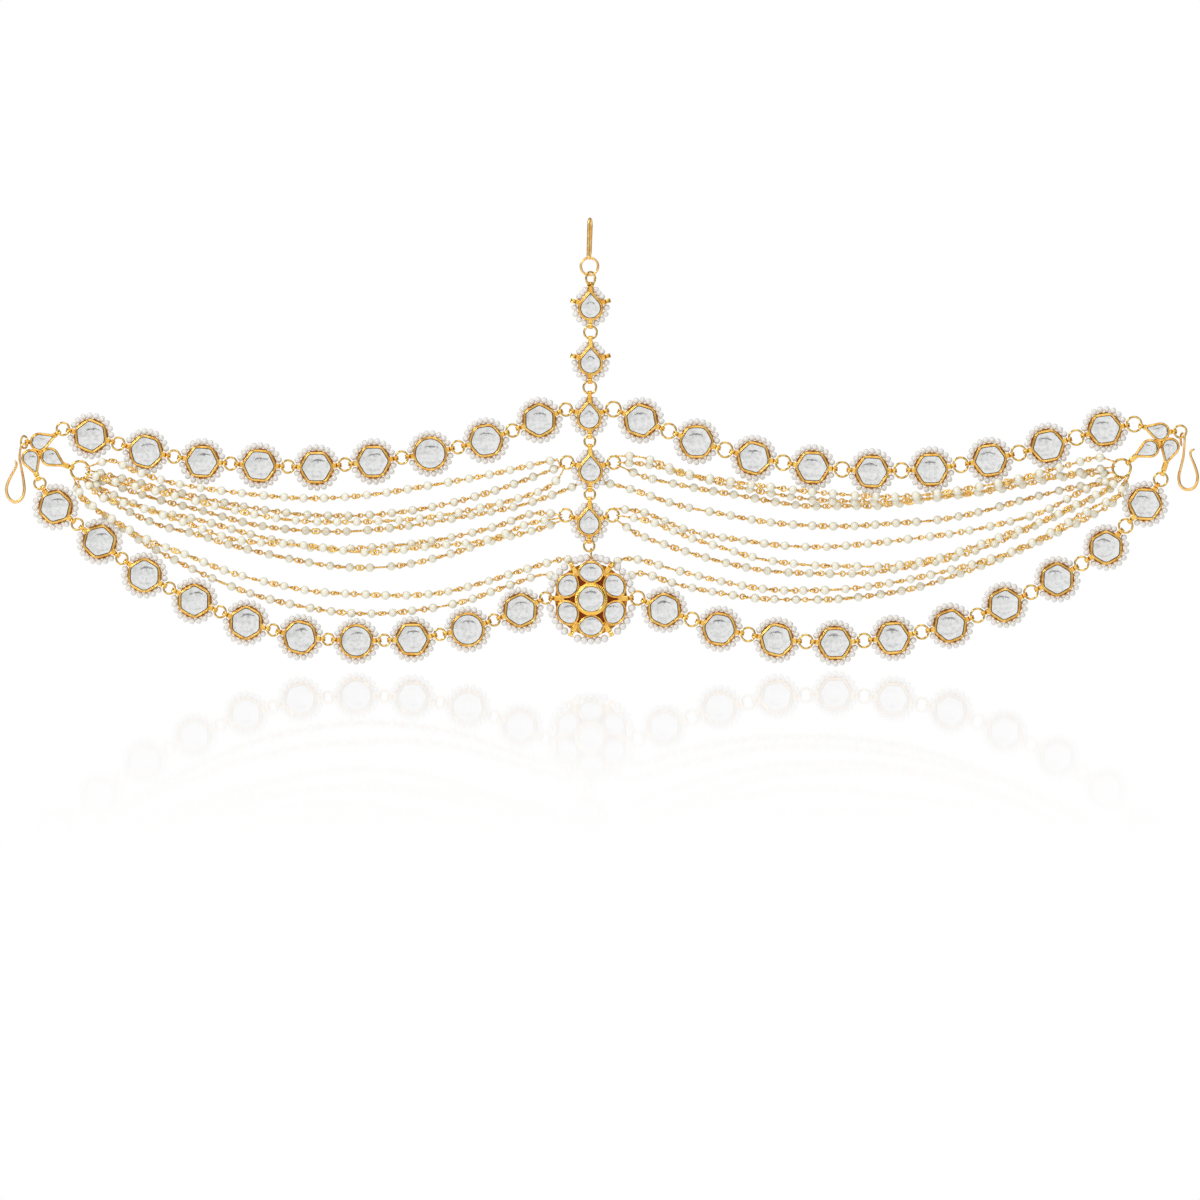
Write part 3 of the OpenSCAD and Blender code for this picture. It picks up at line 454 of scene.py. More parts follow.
def tube(path, radii, sides=10, closed=False, side=(0, 0, 1)):
    """A wire along a path, with a radius for each of its points."""
    path = np.asarray(path, float)
    n = len(path)
    if closed:
        along = [unit(path[(k + 1) % n] - path[k - 1]) for k in range(n)]
    else:
        along = [unit(path[min(k + 1, n - 1)] - path[max(k - 1, 0)]) for k in range(n)]
    points, across = [], np.asarray(side, float)
    for k in range(n):
        across = unit(across - np.dot(across, along[k]) * along[k])
        other = np.cross(along[k], across)
        for s in range(sides):
            a = 2 * math.pi * s / sides
            points.append(path[k] + radii[k] * (math.cos(a) * across + math.sin(a) * other))
    faces = [(k * sides + s, k * sides + (s + 1) % sides,
              ((k + 1) % n) * sides + (s + 1) % sides, ((k + 1) % n) * sides + s)
             for k in range(n if closed else n - 1) for s in range(sides)]
    if not closed:
        faces.append(tuple(range(sides - 1, -1, -1)))
        faces.append(tuple((n - 1) * sides + s for s in range(sides)))
    return np.array(points), faces


def rounded_ends(count, wire):
    """Radii of a wire whose two ends are filed round."""
    radii = [wire] * count
    for k, share in enumerate((0.35, 0.8)):
        radii[k] = radii[-1 - k] = wire * share
    return radii


def loft(loops):
    """Walls from each outline to the next, with a face over the first one and the last one."""
    n, last = len(loops[0]), len(loops) - 1
    faces = []
    for k in range(last):
        a, b = k * n, (k + 1) * n
        faces += [(a + s, a + (s + 1) % n, b + (s + 1) % n, b + s) for s in range(n)]
    faces.append(tuple(range(n - 1, -1, -1)))
    faces.append(tuple(last * n + s for s in range(n)))
    return np.concatenate(loops), faces


def curve_at(a, b, c, d, t):
    return (2 * b + (c - a) * t + (2 * a - 5 * b + 4 * c - d) * t ** 2
            + (3 * b - a - 3 * c + d) * t ** 3) / 2


def smooth(route, spacing):
    """Points along a smooth curve through the points of a route."""
    route = [np.asarray(p, float) for p in route]
    last = len(route) - 1
    path = []
    for k in range(last):
        steps = max(1, round(np.linalg.norm(route[k + 1] - route[k]) / spacing))
        path += [curve_at(route[max(0, k - 1)], route[k], route[k + 1], route[min(last, k + 2)],
                          s / steps) for s in range(steps)]
    return np.array(path + [route[last]])


def at_depth(outline, depth):
    return np.column_stack([outline, np.full(len(outline), float(depth))])


def hexagon(at, turn, roundness):
    """Outline of a hexagon with blunted corners, grown by a distance; at 1 it is a circle."""
    flat = STONE_FLAT + (STONE_CORNER * math.cos(math.radians(15)) - STONE_FLAT) * roundness
    angles = np.arange(48) * 7.5

    def outline(grow):
        off = (angles - turn) % 60 - 30
        reach = (flat + grow) / np.cos(np.radians(off))
        reach = np.minimum(reach, STONE_CORNER + grow)
        if roundness > 0.9:
            reach = np.full(len(angles), STONE_CORNER + grow)
        reach = (np.roll(reach, 1) + 4 * reach + np.roll(reach, -1)) / 6
        return np.array([at + r * toward(a) for r, a in zip(reach, angles)])
    return outline


def pear(r, point, blunt, at, turn, steps=48):
    """Outline of a pear with its round end at the given place, grown by a distance."""
    def outline(grow):
        big, tip = r + grow, max(0.03, blunt + grow)
        lean = math.degrees(math.asin((big - tip) / point))
        tip_steps = max(2, steps // 5)
        body = steps - tip_steps - 2
        points = [np.array([0, point]) + tip * toward(lean + (180 - 2 * lean) * k / tip_steps)
                  for k in range(tip_steps + 1)]
        points += [big * toward(180 - lean + (180 + 2 * lean) * k / body)
                   for k in range(body + 1)]
        return spun(points, turn - 90, at)
    return outline


def petal(turn):
    """Outline of a petal: an oval outer end and a blunt point toward the flower's middle."""
    def outline(grow):
        oval = [np.array([PETAL_MID + (PETAL_LONG + grow) * math.cos(t),
                          (PETAL_R + grow) * math.sin(t)])
                for t in np.radians(np.linspace(-90, 90, 25))]
        shoulder = np.array(PETAL_SHOULDER) + grow * np.array([-0.7, 0.7])
        cheek = np.array(PETAL_CHEEK) + grow * np.array([-0.8, 0.6])
        flip = np.array([1, -1])
        way = [oval[-2], oval[-1], shoulder, cheek, np.array([PETAL_TIP - 1.3 * grow, 0]),
               cheek * flip, shoulder * flip, oval[0], oval[1]]
        flank = [curve_at(*way[k:k + 4], s / 4) for k in range(6) for s in range(4)][1:]
        return spun(oval + flank, turn, FLOWER)
    return outline


# A setting's wall: how far outside the stone, and how deep, from its back round to its seat
BEZEL_WALL = [
    (0.6, BACK), (0.74, BACK + 0.15), (0.74, 0.8), (0.77, 1.2), (0.7, 1.55), (0.5, 1.78),
    (0.36, 1.72), (0.26, 1.66), (0.16, 1.8), (0.04, 1.8), (0.01, 1.7), (0.05, 1.56),
    (0.05, SEAT)]
DROP_WALL = [(grow * 1.27 if grow > 0.1 else grow, depth) for grow, depth in BEZEL_WALL]
FLOWER_WALL = [(grow * 1.06, depth) for grow, depth in BEZEL_WALL]

# Turned sections, as radius and depth: a strand setting's base plate and a lug's barrel
BASE = [(0.01, BACK + 0.6), (6.1, BACK + 0.6), (6.24, BACK + 0.48), (6.24, BACK + 0.1),
        (6.14, BACK - 0.03), (0.01, BACK - 0.03)]
BARREL = [(0.7, -0.62), (0.8, -0.72), (1.0, -0.75), (1.12, -0.67), (1.13, -0.52), (1.05, -0.36),
          (1.05, 0.36), (1.13, 0.52), (1.12, 0.67), (1.0, 0.75), (0.8, 0.72), (0.7, 0.62)]


def bezel(outline, wall=BEZEL_WALL):
    return loft([at_depth(outline(grow), depth) for grow, depth in wall])


def set_stone(shape, outline, centre, lift=0.0, top=2.32, dome_r=22.0):
    """A stone's girdle and narrow bevel in painted gap shade, and a soft clear dome that stands on
    them.
    """
    centre = np.asarray(centre, float)
    edge = outline(-0.08)

    def dome_loop(share, drop):
        ring = centre + (edge - centre) * share
        sag = ((ring - centre) ** 2).sum(axis=1) / (2 * dome_r)
        return np.column_stack([ring, top - sag - drop])

    # The girdle and bevel take the second material, painted shade of the gap to the setting.
    girdle = [at_depth(outline(-0.12), 0.02), at_depth(outline(0), 0.14),
              at_depth(outline(0), 1.42), dome_loop(1, 0.3), dome_loop(0.96, 0)]
    dome = [dome_loop(share, 0)
            for share in (0.96, 0.92, 0.84, 0.72, 0.58, 0.43, 0.28, 0.14, 0.04)]
    for loops, kind, open_end in ((girdle, 1, -1), (dome, 0, -2)):
        points, faces = loft(loops)
        faces.pop(open_end)
        shape.add((points + np.array([0, 0, lift]), faces), kind=kind)


def strap(start, stop, half_width, low, high, along):
    """A short strap with rounded edges from one point to another."""
    start, stop = np.asarray(start, float), np.asarray(stop, float)
    side = np.array([-along[1], along[0]])
    section = [(-1, 0.3), (-0.92, 0.75), (-0.7, 1), (-0.25, 0.86), (0.25, 0.86), (0.7, 1),
               (0.92, 0.75), (1, 0.3), (0.85, 0), (-0.85, 0)]
    loops = []
    for share, width in ((0, 0.9), (0.08, 1), (0.5, 0.94), (0.92, 1), (1, 0.9)):
        at = start + (stop - start) * share
        loops.append(np.array([
            np.append(at + side * half_width * width * s, low + (high - low) * h)
            for s, h in section]))
    points, faces = loft(loops)
    return points, [face[::-1] for face in faces]


def lug(shape, place, ring, ring_r, start, twist=0.0):
    """A neck under a broad strap, and a short turned barrel that holds a ring in its place."""
    place, ring = np.asarray(place, float), np.asarray(ring, float)
    reach = np.linalg.norm(ring - place) - ring_r
    along = unit(ring - place)
    hole = place + along * reach
    shape.add(strap(place + along * start, place + along * (reach - 0.82), 0.45, 0.2, 1.2, along))
    shape.add(strap(place + along * start, place + along * (reach - 0.98), 1.0, 1.1, 1.72, along),
              kind=1)
    side = np.array([-along[1], along[0], 0.0])
    lean = math.radians(twist)
    axis = side * math.cos(lean) + np.array([0, 0, 1]) * math.sin(lean)
    shape.add(placed(turned_section(BARREL, 20), (*hole, LUG_DEPTH), axis, (0, 0, 1)), kind=1)


SEED, SEED_HOLES = ball(12, 8)
PEARL, PEARL_HOLES = ball(18, 12)
BINDING = wire_ring(1.0, 0.06, 10, 5)
BACK_EYE = wire_ring(0.9, 0.32, 16, 8)


def eye_behind(shape, place):
    """A small ring behind a setting, for a chain's hidden end."""
    shape.add(placed(BACK_EYE, (*place, BACK - 0.3), (0, 1, 0), (1, 0, 0)))


def string_seeds(places, centre, seeds, wires, luck, share=1.0):
    """Seed pearls at places along their thread, with a fine wire bound between each pair."""
    for k, (at, along) in enumerate(places):
        size = SEED_R * share * luck.uniform(0.97, 1.02)
        lean = np.array([luck.uniform(-0.12, 0.12) for _ in range(3)])
        seeds.add(placed(SEED, at, along + lean, (0, 0, 1), (size, size, size * 0.91)),
                  SEED_HOLES)
        if k == 0 or np.linalg.norm(places[k - 1][0] - at) > 3:
            continue
        mid = (places[k - 1][0] + at) / 2
        inward = unit(np.append(np.asarray(centre) - mid[:2], 0))
        wires.add(placed(BINDING, mid + inward * BINDING_IN, np.cross(inward, (0, 0, 1)), inward,
                         BINDING_STRETCH))


def ring_of_seeds(at, radius, first, last, count):
    places = []
    for k in range(count):
        angle = first + (last - first) * k / (count - 1)
        place = np.append(np.asarray(at) + radius * toward(angle), 0.0)
        places.append((place, np.append(toward(angle + 90), 0.0)))
    return places


def drop_side_ring(k, side, ring_r):
    """Middle of a ring that hangs in the side lug of a drop."""
    return np.array(DROPS[k]) + (DROP_SIDE + ring_r) * np.array(
        [side * math.cos(math.radians(DROP_TILT)), math.sin(math.radians(DROP_TILT))])


# Strands of stones
def stride(side, fall):
    return np.array([side * math.cos(math.radians(fall)), -math.sin(math.radians(fall))])


def strand_places(strand):
    """Middles of a strand's stones and of its rings, and the rings' radius."""
    side = -1 if strand.endswith("left") else 1
    pitch, falls = PITCH[strand], FALLS[strand]
    ring_r = pitch / 2 - LUG_REACH
    if strand.startswith("upper"):
        first = drop_side_ring(2, side, ring_r)
    else:
        first = np.array(FLOWER) + np.array([side * (FLOWER_REACH + ring_r), 0.4])
    stones, rings = [], [first]
    for k in range(len(TURNS[strand])):
        before = first + pitch / 2 * stride(side, falls[0]) if k == 0 else (
            stones[-1] + pitch * stride(side, falls[k]))
        stones.append(before)
        rings.append(before + pitch / 2 * stride(side, falls[k + 1]))
    return stones, rings, ring_r


def make_strand(strand):
    luck = random.Random(strand)
    stones, rings, ring_r = strand_places(strand)
    settings, gems, seeds, wires = Shape(), Shape(), Shape(), Shape()
    for k, at in enumerate(stones):
        turn, roundness = TURNS[strand][k], ROUNDNESS[strand][k]
        outline = hexagon(at, turn, roundness)
        settings.add(bezel(outline))
        settings.add(turned_plate(BASE, 40, at))
        set_stone(gems, outline, at)
        ways = []
        for r in (k, k + 1):
            away = rings[r] - at
            ways.append(math.degrees(math.atan2(away[1], away[0])))
            lug(settings, at, rings[r], ring_r, STONE_FLAT + 0.5)
        for a, b in ((ways[0], ways[1]), (ways[1], ways[0])):
            span = (b - a) % 360
            places = ring_of_seeds(at, HALO_R, a + SEEDS_OFF_LUG, a + span - SEEDS_OFF_LUG,
                                   SEEDS_EACH_SIDE)
            string_seeds(places, at, seeds, wires, luck)
        wires.add(placed(wire_ring(HALO_R, 0.09, 48, 5), (*at, 0)))
    make(strand + "_bezels", settings, [GOLD, GOLD_LUG], "gold_plate", strand + "_settings")
    make(strand + "_cut_stones", gems, [GLASS, PAINTED_GAP_SHADE], "cut_glass", strand + "_stones")
    make(strand + "_seed_pearls", seeds, [SEED_PEARL], "seed_pearl", strand + "_halos")
    make(strand + "_seed_wires", wires, [GOLD_THREAD], "gold_plate")


for strand_name in PITCH:
    make_strand(strand_name)


# Drops
def drop_seeds(k):
    """Places of a drop's seed pearls: three on each shoulder and four on each lower side."""
    centre = np.array(DROPS[k])
    outline = pear(DROP_HALO_R, DROP_HALO_POINT, DROP_HALO_BLUNT,
                   centre + [0, DROP_HALO_CENTRE], 90, 240)(0)
    angles = np.degrees(np.arctan2(*(outline - centre).T[::-1])) % 360
    order = np.argsort(angles)
    outline, angles = outline[order], angles[order]
    closed = np.vstack([outline, outline[:1]])
    steps = np.linalg.norm(np.diff(closed, axis=0), axis=1)
    run = np.concatenate([[0], np.cumsum(steps)])
    total = run[-1]
    marks = [float(np.interp(a, angles, run[:-1])) for a in (15, 90, 165, 270)] + [0]
    marks[4] = marks[0] + total
    places = []
    for first, last, count in ((0, 1, 3), (1, 2, 3), (2, 3, 4), (3, 4, 4)):
        start, stop = marks[first] + DROP_SEEDS_OFF_LUG, marks[last] - DROP_SEEDS_OFF_LUG
        for n in range(count):
            s = (start + (stop - start) * n / (count - 1)) % total
            at = np.array([np.interp(s, run, closed[:, 0]), np.interp(s, run, closed[:, 1])])
            ahead = (s + 0.2) % total
            on = np.array([np.interp(ahead, run, closed[:, 0]),
                           np.interp(ahead, run, closed[:, 1])])
            places.append((np.append(at, 0.0), np.append(unit(on - at), 0.0)))
    return places, closed[:-1]


def make_drops():
    luck = random.Random("drops")
    seeds, wires = Shape(), Shape()
    for k, at in enumerate(DROPS):
        at = np.array(at)
        setting, gem = Shape(), Shape()
        outline = pear(DROP_R, DROP_POINT, DROP_BLUNT, at + [0, DROP_CENTRE], 90)
        setting.add(bezel(outline, DROP_WALL))
        set_stone(gem, outline, at + [0, -0.4], top=2.36, dome_r=16)
        low = at - [0, DROP_BOTTOM if k < 4 else LAST_BOTTOM]
        top = at + [0, DROP_TOP]
        if k == 0:
            lug(setting, at, at + [0, 2 * FIRST_TOP], FIRST_TOP, 4.7, 46)
        else:
            above = np.array(DROPS[k - 1]) - [0, DROP_BOTTOM]
            lug(setting, at, (above + top) / 2, (above[1] - top[1]) / 2, 4.7)
        if k < 4:
            below = np.array(DROPS[k + 1]) + [0, DROP_TOP]
            lug(setting, at, (below + low) / 2, (low[1] - below[1]) / 2, 4.9)
        else:
            lug(setting, at, low - [0, 1.9], 1.9, 4.9)
        for side in (-1, 1):
            lug(setting, at, drop_side_ring(k, side, DROP_RING), DROP_RING, 4.0)
            if k == 3:
                eye_behind(setting, (at[0] + 2.6 * side, at[1] - 3.6))
        places, thread = drop_seeds(k)
        string_seeds(places, at, seeds, wires, luck)
        wires.add(tube(at_depth(thread[::6], 0), [0.11] * len(thread[::6]), 5, closed=True))
        make(f"drop_{k + 1}_bezel", setting, [GOLD, GOLD_LUG], "gold_plate",
             f"drop_setting_{k + 1}")
        make(f"drop_{k + 1}_cut_stone", gem, [GLASS, PAINTED_GAP_SHADE], "cut_glass", f"drop_stone_{k + 1}")
    make("drop_seed_pearls", seeds, [SEED_PEARL], "seed_pearl", "drop_halos")
    make("drop_seed_wires", wires, [GOLD_THREAD], "gold_plate")


make_drops()


# Flower, with the turned sections of its plate and of its middle setting
PLATE = [(0.01, 0.74), (9.3, 0.74), (9.5, 1.4), (9.8, 1.6), (10.8, 1.62), (11.15, 1.5),
         (11.2, 1.3), (11.2, -0.9), (12.9, -0.92), (13.0, -1.05), (13.0, BACK + 0.1),
         (12.9, BACK - 0.03), (0.01, BACK - 0.03)]
HUB = [(4.7, SEAT + HUB_LIFT), (4.7, 2.42), (4.53, 2.58), (4.62, 2.72), (4.85, 2.72), (5.05, 2.55),
       (5.15, 2.4), (5.5, 2.5), (5.9, 2.3), (6.08, 1.95), (6.1, 1.2), (6.1, 0.5),
       (5.6, 0.3), (5.2, 0.4)]


def make_flower():
    luck = random.Random("flower")
    middle = np.array(FLOWER)
    plate, setting, hub, petals, centre = Shape(), Shape(), Shape(), Shape(), Shape()
    points, faces = turned_plate(PLATE, 72, middle)
    # The plate's face under the petals takes the painted recess shade.
    brown = [face for n, face in enumerate(faces) if n % (len(PLATE) - 1) == 0]
    rest = [face for n, face in enumerate(faces) if n % (len(PLATE) - 1) > 0]
    plate.add((points, rest))
    plate.add((points, brown), kind=1)
    for k in range(PETALS):
        outline = petal(30 + 60 * k)
        setting.add(bezel(outline, FLOWER_WALL))
        set_stone(petals, outline, middle + PETAL_MID * toward(30 + 60 * k), dome_r=16)
    for turn in (60, 120, 240, 300):
        away = middle + 2 * FLOWER_REACH * toward(turn)
        lug(setting, middle, away, FLOWER_REACH, FLOWER_WAIST - 0.4)
    for side in (-1, 1):
        ring = middle + [side * (FLOWER_REACH + 2.2), 0.4]
        lug(setting, middle, ring, 2.2, FLOWER_WAIST - 0.4)
    eye = (middle[0], middle[1] + 14.4, LUG_DEPTH)
    setting.add(placed(wire_ring(0.82, 0.22, 20, 8), eye, stretch=(1, 1, 2.2)))
    for turn in (30, 60, 120, 150):
        eye_behind(setting, middle + 12.3 * toward(turn))
    teeth = 54
    steps = teeth * 4
    points, faces = turned_section(HUB, steps)
    turn = np.arctan2(points[:, 1], points[:, 0])
    reach = np.linalg.norm(points[:, :2], axis=1)
    milled = ((reach > 5.3) & (points[:, 2] > 1.8)) * (0.5 + 0.5 * np.cos(teeth * turn))
    points[:, 2] -= 0.16 * milled
    points[:, :2] *= (1 - 0.014 * milled)[:, None]
    hub.add((points + [*middle, 0], faces))

    def round_stone(grow):
        return np.array([middle + (HUB_STONE_R + grow) * toward(a) for a in range(0, 360, 6)])

    set_stone(centre, round_stone, middle, HUB_LIFT, 2.3, 20)
    seeds, wires = Shape(), Shape()
    per_mm = 180 / math.pi / FLOWER_HALO_R
    for first, last, before, after, count in FLOWER_SEEDS:
        places = ring_of_seeds(middle, FLOWER_HALO_R, first + before * per_mm,
                               last - after * per_mm, count)
        string_seeds(places, middle, seeds, wires, luck, FLOWER_SEED_SHARE)
    wires.add(placed(wire_ring(FLOWER_HALO_R, 0.11, 90, 5), (*middle, 0)))
    make("flower_plate", plate, [GOLD, PAINTED_RECESS_SHADE], "gold_plate", "flower_setting")
    make("flower_petal_bezels", setting, [GOLD, GOLD_LUG], "gold_plate", "flower_setting")
    make("flower_milled_bezel", hub, [GOLD_LUG], "gold_plate", "flower_setting")
    make("flower_petal_cut_stones", petals, [GLASS, PAINTED_GAP_SHADE], "cut_glass", "flower_petal_stones")
    make("flower_centre_cut_stone", centre, [GLASS, PAINTED_GAP_SHADE], "cut_glass", "flower_centre_stone")
    make("flower_seed_pearls", seeds, [SEED_PEARL], "seed_pearl", "flower_halo")
    make("flower_seed_wires", wires, [GOLD_THREAD], "gold_plate")


make_flower()


# Trefoils
def make_trefoil(side):
    setting, gems = Shape(), Shape()
    _, upper_rings, upper_r = strand_places("upper_" + side)
    _, lower_rings, lower_r = strand_places("lower_" + side)
    rings = [upper_rings[-1], np.array(GATHERS[side]), lower_rings[-1]]
    radii = [upper_r, GATHER_R, lower_r]
    middle = sum(np.array(stone[0]) for stone in TREFOILS[side]) / 3
    for (place, turn), ring, ring_r in zip(TREFOILS[side], rings, radii):
        place = np.array(place)
        round_end = place - TREFOIL_SHIFT * toward(turn)
        outline = pear(TREFOIL_R, TREFOIL_POINT, TREFOIL_BLUNT, round_end, turn)
        setting.add(bezel(outline))
        set_stone(gems, outline, place - 0.3 * toward(turn), top=2.2, dome_r=12)
        tip = round_end + (TREFOIL_POINT + TREFOIL_BLUNT) * toward(turn)
        lug(setting, tip, ring, ring_r, 0.4)
    solder = [(0.01, 1.25), (1.0, 1.2), (1.7, 0.9), (2.0, 0.4), (2.0, BACK + 0.2), (1.8, BACK),
              (0.01, BACK)]
    setting.add(turned_plate(solder, 24, middle))
    place, turn = TREFOILS[side][0]
    round_end = np.array(place) - TREFOIL_SHIFT * toward(turn)
    hook_ring = np.array(HOOK_LUGS[side])
    away = unit(hook_ring - round_end)
    lug(setting, round_end + (TREFOIL_R + 0.3) * away, hook_ring, HOOK_RING_R, 0)
    make(side + "_trefoil_bezels", setting, [GOLD, GOLD_LUG], "gold_plate", side + "_trefoil")
    make(side + "_trefoil_cut_stones", gems, [GLASS, PAINTED_GAP_SHADE], "cut_glass",
         side + "_trefoil_stones")


for side_name in ("left", "right"):
    make_trefoil(side_name)


# Wires and chains
def make_hooks():
    for side, route in HOOK_ROUTES.items():
        path = smooth(route, 0.45)
        hook = Shape()
        last = len(path) - 1
        radii = [r * (1 + 0.4 * math.sin(math.pi * min(1, max(0, 1.25 * k / last - 0.25))))
                 for k, r in enumerate(rounded_ends(len(path), 0.4))]
        hook.add(tube(path, radii, 12))
        make(side + "_side_hook_wire", hook, [GOLD_HOOK], "gold_plate", side + "_side_hook")
    wire, bend, splay, leg = 0.55, 2.2, 0.45, 13.6
    ring, ring_r, ring_wire = (-0.2, -16.6), 3.1, 0.45
    lean = (ring[0] + splay) / 2 - splay
    bend_y = wire - bend
    front = [(lean - 0.4 + (-splay - lean + 0.4) * k / 12, -leg + (bend_y + leg) * k / 12,
              LUG_DEPTH) for k in range(12)]
    over = [(-splay * math.cos(a), bend_y + bend * math.sin(a),
             LUG_DEPTH + bend * (math.cos(a) - 1)) for a in np.linspace(0, math.pi, 25)]
    back = [(splay * (1 - k / 12), bend_y + (-leg - bend_y) * k / 12, LUG_DEPTH - 2 * bend)
            for k in range(1, 13)]
    path = front + over + back
    hook = Shape()
    radii = [wire] * len(path)
    radii[-1], radii[-2] = wire * 0.35, wire * 0.8
    hook.add(tube(path, radii, 14, side=(1, 0, 0)))
    hook.add(placed(wire_ring(ring_r, ring_wire, 48, 12), (*ring, LUG_DEPTH)))
    joint, _ = ball(10, 8)
    hook.add(placed(joint, (*(np.array(ring) + ring_r * toward(92)), LUG_DEPTH),
                    stretch=(0.75, 0.7, 0.62)))
    make("hair_hook_wire", hook, [GOLD_HOOK], "gold_plate", "hair_hook")
    solder = Shape()
    solder.add(placed(joint, (1.78, -20.9, 2.3), stretch=(0.55, 0.62, 0.55)))
    make("first_ring_solder", solder, [GOLD_RING], "gold_plate")


make_hooks()

CHAIN_LOOP = wire_ring(LOOP_R, LOOP_WIRE, 14, 6)
CHAIN_WRAP = wire_ring(0.36, 0.22, 10, 6)


def make_chain(side, number):
    """Pearls on eye pins whose loops link each one to the next."""
    luck = random.Random(f"{side} {number}")
    inner, outer, route = CHAINS[side][number - 1]
    path = smooth(route, 1.0)
    run = np.concatenate([[0], np.cumsum(np.linalg.norm(np.diff(path, axis=0), axis=1))])
    length = run[-1]
    hidden = number in CHAINS_FROM_BEHIND
    first = CHAIN_HIDDEN_DEPTH if hidden else LUG_DEPTH + inner * CHAIN_LAYER * CHAIN_END_SHARE
    last = LUG_DEPTH + outer * CHAIN_LAYER * CHAIN_END_SHARE
    full = CHAIN_LAYER * (inner + (outer - inner) * run / length)
    depth = first + (full - first) * np.clip(run / CHAIN_RISE, 0, 1)
    depth = last + (depth - last) * np.clip((length - run) / CHAIN_RISE, 0, 1)
    route_3d = np.column_stack([path, depth])

    def point(s):
        return np.array([np.interp(s, run, route_3d[:, k]) for k in range(3)])

    def heading(s):
        return unit(point(min(length, s + 0.6)) - point(max(0, s - 0.6)))

    start, stop = PEARL_FROM_END[(number + 1) % 3], length - PEARL_FROM_END[number % 3]
    if hidden:
        start = PEARL_FROM_END[2]
    count = round((stop - start) / PEARL_STEP) + 1
    step = (stop - start) / (count - 1)
    stops = [start + step * k + (luck.uniform(-0.4, 0.4) if 0 < k < count - 1 else 0)
             for k in range(count)]
    beyond, half_length, half_width = END_EYE
    pearls, links = Shape(), Shape()
    for k, s in enumerate(stops):
        along = heading(s)
        size = PEARL_R * luck.uniform(0.95, 1.03)
        pearls.add(placed(PEARL, point(s), along, (0, 0, 1), (size, size, size * 0.97)),
                   PEARL_HOLES)
        before = (stops[k - 1] + s) / 2 + LINK_HALF if k else (HIDDEN_LINK if hidden else None)
        after = (stops[k + 1] + s) / 2 - LINK_HALF if k < count - 1 else None
        roll = luck.uniform(0, 180)
        pin = [half_length - beyond - 0.25 if before is None else before + LOOP_R, s - PEARL_R,
               s + PEARL_R, length - half_length + beyond + 0.25 if after is None
               else after - LOOP_R]
        for a, b in ((pin[0], pin[1] + 0.2), (pin[2] - 0.2, pin[3])):
            if b - a > 0.05:
                links.add(tube([point(a), point(b)], [LOOP_WIRE] * 2, 6))
        for end, way, missing in ((0, -1, before), (length, 1, after)):
            if missing is None:
                out = way * heading(end)
                links.add(placed(CHAIN_LOOP, point(end) + beyond * out,
                                 np.cross(out, (0, 0, 1)), out,
                                 (half_length / LOOP_R, half_width / LOOP_R, 1)))
        for place, way in ((before, -1), (after, 1)):
            if place is None:
                continue
            axes = axes_of(heading(place))
            tilt = math.radians(roll + (90 if way > 0 else 0) + luck.uniform(-25, 25))
            normal = math.cos(tilt) * axes[0] + math.sin(tilt) * axes[1]
            links.add(placed(CHAIN_LOOP, point(place), normal, axes[2]))
        for place in (s - PEARL_R - 0.12, s + PEARL_R + 0.12):
            links.add(placed(CHAIN_WRAP, point(place), heading(place)))
    name = f"{side}_chain_{number}"
    make(name + "_pearls", pearls, [CREAM_PEARL], "chain_pearl", name)
    make(name + "_eye_pins", links, [GOLD_WIRE], "gold_plate", name)


for side_name in ("left", "right"):
    for chain_number in range(1, 10):
        make_chain(side_name, chain_number)

# The solid rings keep their form and take the rings' gold
for node_name in ["centre_rings"] + [strand_name + "_rings" for strand_name in PITCH]:
    for slot_of_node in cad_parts[node_name].material_slots:
        slot_of_node.material = GOLD_RING

# Studio: a white surround, a glossy pale floor just under the lowest pearls, and soft light
FLOOR_Z, FLOOR_HALF = -161.2, 9.0
VIEW_AT = (3.6, -136.6)
VIEW_WIDTH = 432
CAMERA_AWAY = 4000


def stage_card(name, points, faces, colour, strength):
    """A card out of the camera's sight, which the metal and the glass mirror."""
    mesh = bpy.data.meshes.new(name)
    mesh.from_pydata((np.asarray(points, float) * MM).tolist(), [], faces)
    made = bpy.data.materials.new(name)
    made.use_nodes = True
    tree = made.node_tree
    tree.nodes.clear()
    output = add(tree, "ShaderNodeOutputMaterial")
    glow = add(tree, "ShaderNodeEmission", {"Color": linear(colour), "Strength": strength})
    tree.links.new(glow.outputs[0], output.inputs["Surface"])
    mesh.materials.append(made)
    piece = bpy.data.objects.new(name, mesh)
    bpy.context.scene.collection.objects.link(piece)
    piece.visible_camera = False


def card(name, centre, size, axis, colour, strength):
    corners = np.array([[-0.5, -0.5, 0], [0.5, -0.5, 0], [0.5, 0.5, 0], [-0.5, 0.5, 0]])
    corners = corners * np.array([size[0], size[1], 1]) @ axes_of(axis, (1, 0, 0.001)) + centre
    stage_card(name, corners, [(0, 1, 2, 3)], colour, strength)


def dark_arc(name, middle, half_width, drop, thickness, stem):
    """The dark edge of the hood over the camera, with its post: each dome mirrors it small."""
    count = 21
    places = np.linspace(-1, 1, count)
    upper = [(half_width * t, -drop * t * t + thickness / 2) for t in places]
    lower = [(half_width * t, -drop * t * t - thickness / 2 * (1 - 0.6 * t * t)) for t in places]
    points = [(middle[0] + x, middle[1], middle[2] + z) for x, z in upper + lower]
    faces = [(k, k + 1, count + k + 1, count + k) for k in range(count - 1)]
    post = [(-stem[0] / 2, 0), (stem[0] / 2, 0), (stem[0] / 4, -stem[1]), (-stem[0] / 4, -stem[1])]
    points += [(middle[0] + x, middle[1] + 1, middle[2] + z) for x, z in post]
    faces.append(tuple(range(2 * count, 2 * count + 4)))
    stage_card(name, points, faces, "#000000", 0.0)


